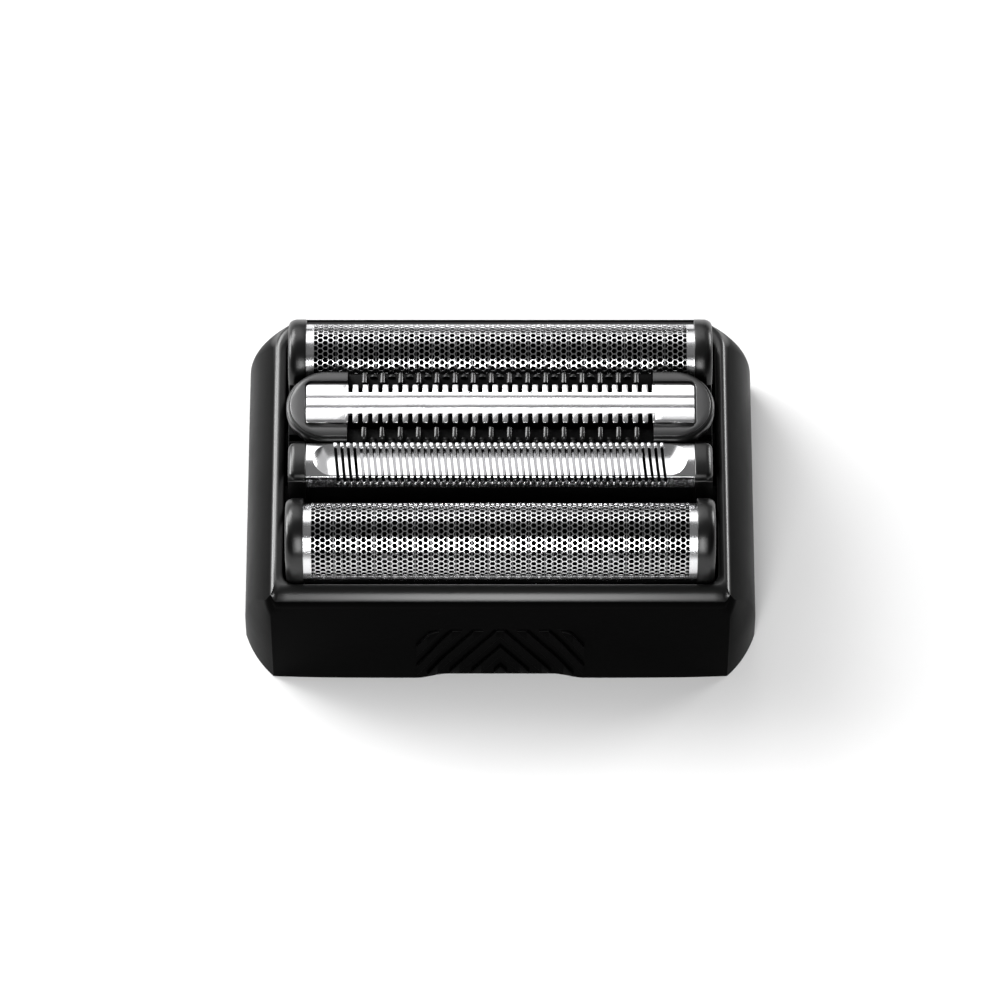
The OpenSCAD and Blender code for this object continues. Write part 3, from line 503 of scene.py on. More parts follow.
def make_pierced_sheet():
    """One pierced cell repeated over a flat field, joined to its plain borders, then bent round a profile."""
    p = Pattern(
        "pierced_sheet",
        {"Cell": "Object", "Border": "Object", "Profile": "Object", "Columns": "Int", "Rows": "Int",
         "Column Pitch": "Float", "Row Pitch": "Float", "Stagger": "Float", "Slant": "Float", "Material": "Material"},
    )
    given = p.given
    count = p.math("MULTIPLY", given["Columns"], given["Rows"])
    points = p.node("GeometryNodePoints", {"Count": count}).outputs[0]
    index = p.node("GeometryNodeInputIndex").outputs[0]
    row = p.math("FLOOR", p.math("DIVIDE", p.math("ADD", index, 0.5), given["Columns"]))
    column = p.math("SUBTRACT", index, p.math("MULTIPLY", row, given["Columns"]))
    half_columns = p.math("DIVIDE", p.math("SUBTRACT", given["Columns"], 1.0), 2.0)
    half_rows = p.math("DIVIDE", p.math("SUBTRACT", given["Rows"], 1.0), 2.0)
    odd = p.math("SUBTRACT", p.math("MODULO", row, 2.0), 0.5)
    x = p.math("MULTIPLY", p.math("SUBTRACT", column, half_columns), given["Column Pitch"])
    x = p.math("ADD", x, p.math("MULTIPLY", odd, given["Stagger"]))
    y = p.math("MULTIPLY", p.math("SUBTRACT", row, half_rows), given["Row Pitch"])
    set_out = p.node("GeometryNodeSetPosition", {"Geometry": points, "Position": p.vector(x, y)}).outputs[0]
    cell = p.node("GeometryNodeObjectInfo", {"Object": given["Cell"]}).outputs["Geometry"]
    cells = p.node("GeometryNodeInstanceOnPoints", {"Points": set_out, "Instance": cell}).outputs[0]
    cells = p.node("GeometryNodeRealizeInstances", {"Geometry": cells}).outputs[0]
    border = p.node("GeometryNodeObjectInfo", {"Object": given["Border"]}).outputs["Geometry"]
    both = p.node("GeometryNodeJoinGeometry")
    p.tree.links.new(cells, both.inputs[0])
    p.tree.links.new(border, both.inputs[0])
    whole = p.node("GeometryNodeMergeByDistance", {"Geometry": both.outputs[0], "Distance": 0.004 * MM}).outputs[0]
    # bend: the sheet's own Y becomes the way along the profile, its own Z the way out of it
    profile = p.node("GeometryNodeObjectInfo", {"Object": given["Profile"]}).outputs["Geometry"]
    path = p.node("GeometryNodeMeshToCurve", {"Mesh": profile}).outputs[0]
    length = p.node("GeometryNodeCurveLength", {"Curve": path}).outputs[0]
    place = p.node("GeometryNodeInputPosition").outputs[0]
    parts = p.node("ShaderNodeSeparateXYZ", {0: place}).outputs
    along = p.math("ADD", parts[1], p.math("MULTIPLY", length, 0.5))
    sample = p.node("GeometryNodeSampleCurve", {"Curves": path}, mode="LENGTH")
    p.tree.links.new(along, sample.inputs["Length"])
    across = {0: (1.0, 0.0, 0.0), 1: sample.outputs["Tangent"]}
    out = p.node("ShaderNodeVectorMath", across, operation="CROSS_PRODUCT").outputs[0]
    lift = p.node("ShaderNodeVectorMath", {0: out, "Scale": parts[2]}, operation="SCALE").outputs[0]
    bent = p.node("ShaderNodeVectorMath", {0: sample.outputs["Position"], 1: lift}, operation="ADD").outputs[0]
    shift = p.math("ADD", parts[0], p.math("MULTIPLY", parts[1], given["Slant"]))
    moved = p.node("ShaderNodeVectorMath", {0: bent, 1: p.vector(shift)}, operation="ADD").outputs[0]
    p.finish(p.node("GeometryNodeSetPosition", {"Geometry": whole, "Position": moved}).outputs[0])
    return p


def make_rank():
    """A part repeated along X, in one rank or in two that face away from each other."""
    p = Pattern(
        "rank",
        {"Part": "Object", "Count": "Int", "Ranks": "Int", "Pitch": "Float", "Centre": "Vector",
         "Material": "Material"},
    )
    given = p.given
    points = p.node("GeometryNodePoints", {"Count": p.math("MULTIPLY", given["Count"], given["Ranks"])}).outputs[0]
    index = p.node("GeometryNodeInputIndex").outputs[0]
    rank = p.math("FLOOR", p.math("DIVIDE", p.math("ADD", index, 0.5), given["Count"]))
    step = p.math("SUBTRACT", index, p.math("MULTIPLY", rank, given["Count"]))
    half = p.math("DIVIDE", p.math("SUBTRACT", given["Count"], 1.0), 2.0)
    x = p.math("MULTIPLY", p.math("SUBTRACT", step, half), given["Pitch"])
    spot = p.node("ShaderNodeVectorMath", {0: p.vector(x), 1: given["Centre"]}, operation="ADD").outputs[0]
    placed = p.node("GeometryNodeSetPosition", {"Geometry": points, "Position": spot}).outputs[0]
    part = p.node("GeometryNodeObjectInfo", {"Object": given["Part"]}).outputs["Geometry"]
    turn = p.vector(0.0, 0.0, p.math("MULTIPLY", rank, math.pi))
    copies = p.node("GeometryNodeInstanceOnPoints", {"Points": placed, "Instance": part, "Rotation": turn}).outputs[0]
    solid = p.node("GeometryNodeRealizeInstances", {"Geometry": copies}).outputs[0]
    p.finish(p.node("GeometryNodeMergeByDistance", {"Geometry": solid, "Distance": 0.002 * MM}).outputs[0])
    return p


def make_coil_pair():
    """Two compression springs, one at each side of the middle."""
    p = Pattern(
        "coil_pair",
        {"Radius": "Float", "Wire": "Float", "Turns": "Float", "Height": "Float", "Side": "Float",
         "Foot": "Vector", "Material": "Material"},
    )
    given = p.given
    values = {"Resolution": 24, "Rotations": given["Turns"], "Start Radius": given["Radius"],
              "End Radius": given["Radius"], "Height": given["Height"]}
    line = p.node("GeometryNodeCurveSpiral", values).outputs[0]
    section = p.node("GeometryNodeCurvePrimitiveCircle", {"Resolution": 10, "Radius": given["Wire"]}).outputs[0]
    tube = p.node("GeometryNodeCurveToMesh", {"Curve": line, "Profile Curve": section, "Fill Caps": True}).outputs[0]
    index = p.node("GeometryNodeInputIndex").outputs[0]
    x = p.math("MULTIPLY", p.math("SUBTRACT", p.math("MULTIPLY", index, 2.0), 1.0), given["Side"])
    spot = p.node("ShaderNodeVectorMath", {0: p.vector(x), 1: given["Foot"]}, operation="ADD").outputs[0]
    points = p.node("GeometryNodePoints", {"Count": 2, "Position": spot}).outputs[0]
    p.finish(p.node("GeometryNodeInstanceOnPoints", {"Points": points, "Instance": tube}).outputs[0])
    return p


PIERCED_SHEET = make_pierced_sheet()
RANK = make_rank()
COIL_PAIR = make_coil_pair()


def line_object(name, points):
    """An open line of points in the YZ plane, for the sheets to follow."""
    mesh = bpy.data.meshes.new(name)
    edges = [(i, i + 1) for i in range(len(points) - 1)]
    mesh.from_pydata([(0, y * MM, z * MM) for y, z in points], edges, [])
    return link(bpy.data.objects.new(name, mesh))


def discard(*objects):
    for obj in objects:
        bpy.data.objects.remove(obj)


# ---------- outer frame ----------
FLARE_Z = 3.0
SIDE_ROUND = 0.6
RIM_START = 31              # the side round begins where the flared wall meets it, in degrees
REAR_ROUND = 0.6
EDGE_ROUND = 0.08
SIDE_TOP = RIDGE_Z - SIDE_ROUND * (1 - math.sin(math.radians(RIM_START)))
REAR_TOP = RIDGE_Z - REAR_ROUND
SIDE_FLARE = BASE_X - RIDGE_X
FLARE_R = ((SIDE_TOP - FLARE_Z) ** 2 + SIDE_FLARE**2) / (2 * SIDE_FLARE)
FRONT_LEAN = BASE_Y - OPEN_Y - EDGE_ROUND - FRONT_ROUND
LEAN_R = (FRONT_TOP**2 + FRONT_LEAN**2) / (2 * FRONT_LEAN)
REAR_EDGE = OPEN_Y + 2.11
FRONT_BOW = 0.2             # the front and back swell by this at the foot, between their corners
FOOT_OUT = 0.28             # the foot stands out further by this
CORNER_X = RIDGE_X + 0.05
# fall of the rim from its ridge to the opening: distance from the opening, and depth
MOUTH_SLOPE = (
    (0.57, 0.01), (0.46, 0.035), (0.35, 0.065), (0.23, 0.105), (0.12, 0.155), (0.05, 0.215), (0.01, 0.29), (0, 0.42)
)
REAR_CORNER = 3.2
ARRIS = 0.45                # length of the front corner's slant at the rim
FOOT_ROUND = 0.06
MOUTH_R = 1.6
GRIP_HW = 8.5               # half width of the finger scoops
GRIP_FLAT = 5.0             # half width of their full depth
GRIP_H = RIDGE_Z - 5
GRIP_CORNER = 2.6
GRIP_IN = 0.5               # depth at the foot
GRIP_IN_TOP = 0.25
RIB_PITCH = 2.15
RIB_RISE = 1.6
RIB_H = 0.26
RIB_INSET = 0.3
RIB_FOOT = 0.5
RIB_EDGE = 0.07
GRID = 0.12                 # mesh size over the scoops


def swell(r, d):
    return r - math.sqrt(r * r - d * d)


def side_wall(z):
    return BASE_X - (0 if z < FLARE_Z else swell(FLARE_R, z - FLARE_Z))


def front_face(z):
    return BASE_Y + FOOT_OUT * (1 - z / FRONT_TOP) - swell(LEAN_R, z)


def rear_face(z):
    t = z / REAR_TOP
    return BASE_Y + FOOT_OUT * (1 - t) - (BASE_Y - REAR_EDGE) * t * t


GRIP_SLOPE = (front_face(0) - front_face(GRIP_H) + FRONT_BOW * GRIP_H / FRONT_TOP - GRIP_IN + GRIP_IN_TOP) / GRIP_H


def grip_floor(x, z):
    """How far out the floor of the finger scoop lies at a place."""
    far = abs(x)
    share = 1.0
    if far > GRIP_FLAT:
        share = (1 + math.cos(math.pi * min(1.0, (far - GRIP_FLAT) / (GRIP_HW - GRIP_FLAT)))) / 2
    return front_face(0) + FRONT_BOW - GRIP_IN * share - z * GRIP_SLOPE


def grip_inside(x, z):
    """How far inside the scoop's outline a place lies; the outline is open at the foot."""
    r = GRIP_CORNER
    u = GRIP_HW - abs(x)
    v = GRIP_H - z
    if u < r and v < r:
        return r - math.hypot(r - u, r - v)
    return min(u, v)


def grip_cut(x, z, wall):
    inside = grip_inside(x, z)
    if inside <= 0:
        return 0.0
    return max(0.0, wall - grip_floor(x, z)) * min(1.0, inside / 0.14)


def pocket_depth(x, z):
    """Pockets in the hollow's wall, for the handle's catches and for the base plate's lugs."""
    if abs(x) < 5 and 0.9 <= z <= 2.3:
        return 0.5
    if 12.4 <= abs(x) <= 15.6 and 2.9 <= z <= 3.9:
        return 0.7
    return 0.0


def wall_level(z, inset):
    """One ring of the outside; the sides and the back reach their own tops at the same step."""
    t = z / FRONT_TOP
    side_z, rear_z = t * SIDE_TOP, t * REAR_TOP
    return ((side_wall(side_z) - inset, side_z), (front_face(z) - inset, z), (rear_face(rear_z) - inset, rear_z),
            1, ARRIS, REAR_CORNER * (0.4 + 0.6 * t * t), FRONT_BOW * (1 - t), "out")


def frame_levels():
    """Rings of the frame from its foot up the outside, over the rim and down the inside."""
    levels = []
    for i in range(5):
        a = math.radians(-90 + 22.5 * i)
        levels.append(wall_level(FOOT_ROUND + FOOT_ROUND * math.sin(a), FOOT_ROUND - FOOT_ROUND * math.cos(a)))
    z = FOOT_ROUND
    while z < FRONT_TOP - 0.05:
        z = min(z + (GRID if z < GRIP_H + 0.6 else 0.32), FRONT_TOP)
        levels.append(wall_level(z, 0.0))
    for i in range(1, 13):
        a = math.radians(7.5 * i)
        turn = math.radians(RIM_START + (90 - RIM_START) * i / 12)
        centre = RIDGE_X - SIDE_ROUND * math.cos(math.radians(RIM_START))
        side = (centre + SIDE_ROUND * math.cos(turn), RIDGE_Z - SIDE_ROUND * (1 - math.sin(turn)))
        front = (OPEN_Y + EDGE_ROUND + FRONT_ROUND * math.cos(a), FRONT_TOP + FRONT_ROUND * math.sin(a))
        rear = (REAR_EDGE - REAR_ROUND + REAR_ROUND * math.cos(a), REAR_TOP + REAR_ROUND * math.sin(a))
        levels.append((side, front, rear, 1, ARRIS, REAR_CORNER, 0, "rim"))
    for i, (out, fall) in enumerate(MOUTH_SLOPE):
        u = (i + 1) / len(MOUTH_SLOPE)
        a = math.radians(90 * u)
        side = (OPEN_X + out, RIDGE_Z - fall)
        inner = (OPEN_Y + EDGE_ROUND * (1 - math.sin(a)), RIDGE_Z - EDGE_ROUND * (1 - math.cos(a)))
        levels.append((side, inner, inner, 0, 0.9 + (MOUTH_R - 0.9) * u, 1.8 - 0.4 * u, 0, "rim"))
    for z, x, y, r in ((RIM_UNDER, OPEN_X, OPEN_Y, MOUTH_R), (RIM_UNDER, OPEN_X + 0.35, OPEN_Y + 0.6, MOUTH_R)):
        levels.append(((x, z), (y, z), (y, z), 0, r, min(r, 1.4), 0, "in"))
    for z in (8.0, 3.95, 3.9, 2.9, 2.35, 2.3, 0.9, 0.85, 0.0):
        share = 1 - z / 8.0
        x, y = BASE_X - 2.4 + 0.3 * share, BASE_Y - 1.65 + 0.1 * share
        levels.append(((x, z), (y, z), (y, z), 0, 0.9, 0.9, 0, "in"))
    return levels


def frame_stations():
    """Places along the front and back faces, close together over the scoops and the pockets."""
    fine = int(round(9 / GRID))
    half = [GRID * i for i in range(fine + 1)]
    half += [9.5, 10.2, 11, 11.8, 12.35, 12.42, 14, 15.58, 15.65, 16.8, 18, 19.2, 20.4, 21.4, 22.3]
    return [-x for x in half[:0:-1]] + half


STATIONS = frame_stations()


def bezier(a, c, b, n):
    made = []
    for i in range(n + 1):
        t = i / n
        made.append(tuple((1 - t) ** 2 * p + 2 * t * (1 - t) * q + t * t * r for p, q, r in zip(a, c, b)))
    return made


def face_run(place, xb, bow, kind, sign):
    """The front's or the back's part of a ring, between its corners."""
    run = []
    for x in STATIONS:
        far = abs(x)
        if far > 12:
            far = 12 + (far - 12) * (xb - 12) / (22.3 - 12)
        px = math.copysign(far, x)
        y = place[0] + bow * (1 - (px / xb) ** 6)
        if kind == "out":
            y -= grip_cut(px, place[1], y)
        if kind == "in":
            y += pocket_depth(px, place[1])
        run.append((px, sign * y, place[1]))
    return run


def frame_ring(level):
    """One ring of the frame: front face, right corner, side and rear corner, back face, and the left again."""
    s, f, b, soft, r_front, r_rear, bow, kind = level
    xb = min(s[0] - r_front, CORNER_X)
    ya = f[0] - (s[0] - xb) * (1 + 0.67 * soft)
    cx = xb + (s[0] - xb) * (1 - 0.3 * soft)
    cy = f[0] - (f[0] - ya) * 0.41 * soft
    front_corner = bezier((xb, -f[0], f[1]), (cx, -cy, (f[1] + s[1]) / 2), (s[0], -ya, s[1]), 14)
    xr = s[0] - r_rear
    steps = 20
    rear_corner = []
    for i in range(steps + 1):
        a = math.radians(90 / steps * i)
        y = b[0] - r_rear + r_rear * math.sin(a)
        rear_corner.append((xr + r_rear * math.cos(a), y, s[1] + (b[1] - s[1]) * i / steps))
    side = [(s[0], -ya + (b[0] - r_rear + ya) * i / 8, s[1]) for i in range(1, 8)]
    ring = face_run(f, xb, bow, kind, -1)
    ring += front_corner[1:] + side + rear_corner[:-1]
    ring += face_run(b, xr, bow, kind, 1)[::-1]
    for run in (rear_corner[:-1], side, front_corner[1:]):
        ring += [(-x, y, z) for x, y, z in run[::-1]]
    return ring


def scoop_room(x, z):
    """How far the scoop's floor lies inside the wall at a place."""
    return front_face(z) + FRONT_BOW * (1 - z / FRONT_TOP) - grip_floor(x, z)


def rib_span(x, top):
    """The heights between which a chevron rib lies at a place, where it is inside the scoop."""
    high = top - RIB_RISE * abs(x)
    low = high - RIB_PITCH * RIB_RISE / 2
    r = GRIP_CORNER - RIB_INSET
    u = GRIP_HW - RIB_INSET - abs(x)
    if u <= 0:
        return None
    roof = GRIP_H - RIB_INSET - (r - math.sqrt(r * r - (r - u) ** 2) if u < r else 0)
    high, low = min(high, roof), max(low, RIB_FOOT)
    return (low, high) if high - low > 3 * RIB_EDGE else None


def build_ribs():
    """Chevron ribs in both scoops, each with a small round along its edges."""
    ribs = Shell()
    xs = [GRIP_HW * i / 120 for i in range(-120, 121)]
    for k in range(-3, 3):
        top = GRIP_H + 0.3 - k * RIB_PITCH * RIB_RISE
        runs = []
        for x in xs:
            span_z = rib_span(x, top)
            if span_z is None or scoop_room(x, span_z[1]) < -RIB_H:
                if runs and runs[-1]:
                    runs.append([])
                continue
            if not runs:
                runs.append([])
            runs[-1].append((x, *span_z))
        for run in runs:
            if len(run) < 3:
                continue
            for sign in (-1, 1):
                rings = []
                for x, low, high in run:
                    e = RIB_EDGE
                    section = [(low, -0.2), (low, RIB_H - e), (low + 0.3 * e, RIB_H - 0.3 * e), (low + e, RIB_H),
                               (high - e, RIB_H), (high - 0.3 * e, RIB_H - 0.3 * e), (high, RIB_H - e), (high, -0.2)]
                    rings.append([(x, sign * (grip_floor(x, z) + out), z) for z, out in section])
                ribs.loft(rings)
    dress(settle(mesh_object("grip_ribs", ribs), 30), FRAME_PLASTIC, "frame", "frame_plastic")


def build_frame():
    shell = Shell()
    shell.loft([frame_ring(v) for v in frame_levels()], closed=True)
    wall = settle(mesh_object("frame_shell", shell), 30)
    dress(wall, FRAME_PLASTIC, "frame", "frame_plastic", "outer_frame")
    build_ribs()
    # guides that hold the tongues of the floating units
    rails = Shell()
    guide = [OPEN_X + 0.1, TONGUE_X + 0.1]
    rows = [(y - TONGUE_W - 0.1, y + TONGUE_W + 0.1) for y in (FRONT_Y, GUARD_Y, COMB_Y, REAR_Y)]
    edges = [-OPEN_Y + 0.1] + [v for row in rows for v in row] + [OPEN_Y - 0.1]
    for g in (-1, 1):
        for y0, y1 in zip(edges[::2], edges[1::2]):
            outline = [(g * guide[0], PLATE_TOP), (g * guide[0], RIM_UNDER + 0.01), (g * guide[1], RIM_UNDER + 0.01),
                       (g * guide[1], PLATE_TOP)]
            rails.prism_y(outline, y0, y1)
        back = [(g * guide[1], PLATE_TOP), (g * guide[1], RIM_UNDER + 0.01), (g * RIDGE_X, RIM_UNDER + 0.01),
                (g * (BASE_X - 2.3), 8.0), (g * (BASE_X - 2.1), PLATE_TOP)]
        rails.prism_y(back, -OPEN_Y + 0.1, OPEN_Y - 0.1)
    dress(settle(bevel(mesh_object("frame_guides", rails), 0.08)), INNER_PLASTIC, "frame", "frame_plastic")


# ---------- foils ----------
HOLE_PITCH = 0.569
HOLE_FLAT = 0.49
HOLE_COLUMNS = 37
FOIL_ROWS = 47
SHEET_T = 0.05
FOIL_SKIRT = 3.0
MARGIN_X = 18.12            # the pierced field ends here


def foil_profile():
    """The foil's section as closely spaced points, from the front skirt over the apex to the rear one."""
    return arch(FOIL_HALF_W, FOIL_H, FOIL_HALF_W - APEX_IN, FOIL_SKIRT, 40)[::-1]


def hexagon(cx, cy, flat):
    r = flat / math.sqrt(3)
    return [(cx + r * math.cos(math.radians(60 * i)), cy + r * math.sin(math.radians(60 * i)), 0) for i in range(6)]


def hole_cell():
    """One hexagonal hole with half of the web round it."""
    cell = Shell()
    outer = hexagon(0, 0, HOLE_PITCH)
    inner = hexagon(0, 0, HOLE_FLAT)
    faces = [[i, (i + 1) % 6, 6 + (i + 1) % 6, 6 + i] for i in range(6)]
    cell.add(outer + inner, faces)
    return mesh_object("hole_cell", cell, solid=False)


def foil_border():
    """Plain strips at both ends and along both feet, a hair below the pierced field."""
    strip = Shell()
    below = -0.012
    length = line_length(foil_profile())
    bends = 96
    rows = [-length / 2 + length * i / bends for i in range(bends + 1)]
    for x0, x1 in ((-FOIL_X, -MARGIN_X), (MARGIN_X, FOIL_X)):
        points = [(x, s, below) for s in rows for x in (x0, x1)]
        strip.add(points, [[2 * i, 2 * i + 1, 2 * i + 3, 2 * i + 2] for i in range(bends)])
    field = (FOIL_ROWS - 1) / 2 * HOLE_PITCH / 2
    parts = 20
    n = parts + 1
    xs = [-MARGIN_X + 2 * MARGIN_X * i / parts for i in range(n)]
    for s0, s1 in ((-length / 2, -field), (field, length / 2)):
        points = [(x, s, below) for s in (s0, (s0 + s1) / 2, s1) for x in xs]
        corners = [r * n + i for r in (0, 1) for i in range(parts)]
        strip.add(points, [[k, k + 1, k + 1 + n, k + n] for k in corners])
    return mesh_object("foil_border", strip, solid=False)


def line_length(points):
    return sum(math.dist(a, b) for a, b in zip(points, points[1:]))


def build_foils():
    """Both foils: a flat honeycomb and its borders, bent round the arch and thickened."""
    profile = line_object("foil_profile", foil_profile())
    cell = hole_cell()
    border = foil_border()
    for row, y in (("front", FRONT_Y), ("rear", REAR_Y)):
        sheet = PIERCED_SHEET.run(
            f"{row}_foil_sheet", cell=cell, border=border, profile=profile, columns=HOLE_COLUMNS, rows=FOIL_ROWS,
            column_pitch=HOLE_PITCH * math.sqrt(3) * MM, row_pitch=HOLE_PITCH / 2 * MM,
            stagger=HOLE_PITCH * math.sqrt(3) / 2 * MM, slant=0.0, material=FOIL_STEEL,
        )
        for v in sheet.data.vertices:
            v.co.y += y * MM
            v.co.z += FOIL_Z * MM
        settle(thicken(sheet, SHEET_T), 50)
        dress(sheet, FOIL_STEEL, f"{row}_foil_unit", "foil_steel", f"{row}_foil")
    discard(profile, cell, border)


# ---------- end caps of the foils ----------
CAP_OVER = 0.55             # the caps stand this far above the foil
CAP_HALF = FOIL_HALF_W + 0.14
CAP_ROUND = 0.85
CAP_FLATTEN = 0.7           # the end's round goes in by this share of its length
CAP_END = CAP_X + 0.12


def cap_ring(x, inset, y):
    outline = arch(CAP_HALF - inset, FOIL_H + CAP_OVER - inset, CAP_HALF - 0.08 - inset, FOIL_Z - UNIT_Z, 14)
    return [(x, y + u, FOIL_Z + v) for u, v in outline]


def build_caps():
    """Glossy shells over the foils' ends, with their tongues and plugs as one dull piece for each foil."""
    for row, y in (("front", FRONT_Y), ("rear", REAR_Y)):
        inner = Shell()
        for side, g in (("left", -1), ("right", 1)):
            cap = Shell()
            rings = [cap_ring(FOIL_X, 0.07, y), cap_ring(FOIL_X + 0.02, 0.02, y), cap_ring(FOIL_X + 0.07, 0, y)]
            for out, inset in round_end(CAP_ROUND, [7.5 * i for i in range(13)]):
                rings.append(cap_ring(CAP_END - CAP_ROUND + out, inset * CAP_FLATTEN, y))
            cap.loft([[(g * px, py, pz) for px, py, pz in ring] for ring in rings])
            low = PLATE_TOP + 1.75
            tongue = [g * (CAP_X - 0.3), g * TONGUE_X]
            inner.block(min(tongue), max(tongue), y - TONGUE_W, y + TONGUE_W, low, RIM_UNDER - 0.1)
            plug = arch(FOIL_HALF_W - 0.2, FOIL_H - 0.2, FOIL_HALF_W - 0.6, 1.2, 8)
            ends = [g * (FOIL_X - 0.9), g * (FOIL_X + 0.1)]
            inner.prism_x([(y + u, FOIL_Z + v) for u, v in plug], min(ends), max(ends))
            piece = settle(mesh_object(f"{row}_cap_{side}_shell", cap), 40)
            dress(piece, CAP_PLASTIC, f"{row}_foil_unit", "cap_plastic", f"{row}_cap_{side}")
        piece = settle(bevel(mesh_object(f"{row}_cap_tongues", inner), 0.08), 40)
        dress(piece, INNER_PLASTIC, f"{row}_foil_unit", "cap_plastic")


# ---------- foil cutters ----------
LAMELLA_T = 0.1
LAMELLA_PITCH = 0.78
LAMELLA_COUNT = 44


def build_lamellae():
    """The ranks of thin arched blades that are seen through the foils."""
    half = FOIL_HALF_W - 0.22
    blade_arch = arch(half, FOIL_H - 0.22, half - APEX_IN, 0.55, 14)
    leg, core = FOIL_HALF_W - 0.9, FOIL_HALF_W - 1.7
    foot = FLOAT_Z + 2.25 - FOIL_Z
    outline = [(leg, foot), (leg, -1.15)] + blade_arch + [(-leg, -1.15), (-leg, foot), (-core, foot)]
    outline += arc(0, FOIL_H - 1.12 - core, core, 180, 0, 16) + [(core, foot)]
    for row, y in (("front", FRONT_Y), ("rear", REAR_Y)):
        blade = Shell()
        blade.prism_x(outline, -LAMELLA_T / 2, LAMELLA_T / 2)
        part = mesh_object("lamella", blade)
        ranks = RANK.run(
            f"{row}_lamella_rank", part=part, count=LAMELLA_COUNT, ranks=1, pitch=LAMELLA_PITCH * MM,
            centre=(0, y * MM, FOIL_Z * MM), material=SHADED_LAMELLA_STEEL,
        )
        dress(settle(ranks, 30), SHADED_LAMELLA_STEEL, f"{row}_cutter", "blade_steel", f"{row}_lamellae")
        discard(part)


# ---------- comb trimmer ----------
HEAD_ROUND = 0.3            # round along the top edge of the heads
PIN_W = 0.55
PIN_PITCH = 1.757
PIN_COUNT = 16
TOOTH_PITCH = 0.965
TOOTH_COUNT = 31
TOOTH_GAP = 0.45
TOOTH_ROOT = 1.05           # from the bar's edge to the line where the teeth's cells end
GROOVE_Y = 0.55             # two fine grooves run along the bar
GROOVE_DEPTH = 0.13
BAR_T = 0.25
BAR_FALL = 0.08             # how far the bar's long edges bend down


def head_outline(inset):
    r = COMB_HALF + COMB_LIP - inset
    centre = COMB_END_X - COMB_HALF - COMB_LIP
    return [(COMB_HEAD_X, -r)] + arc(centre, 0, r, -90, 90, 40) + [(COMB_HEAD_X, r)]


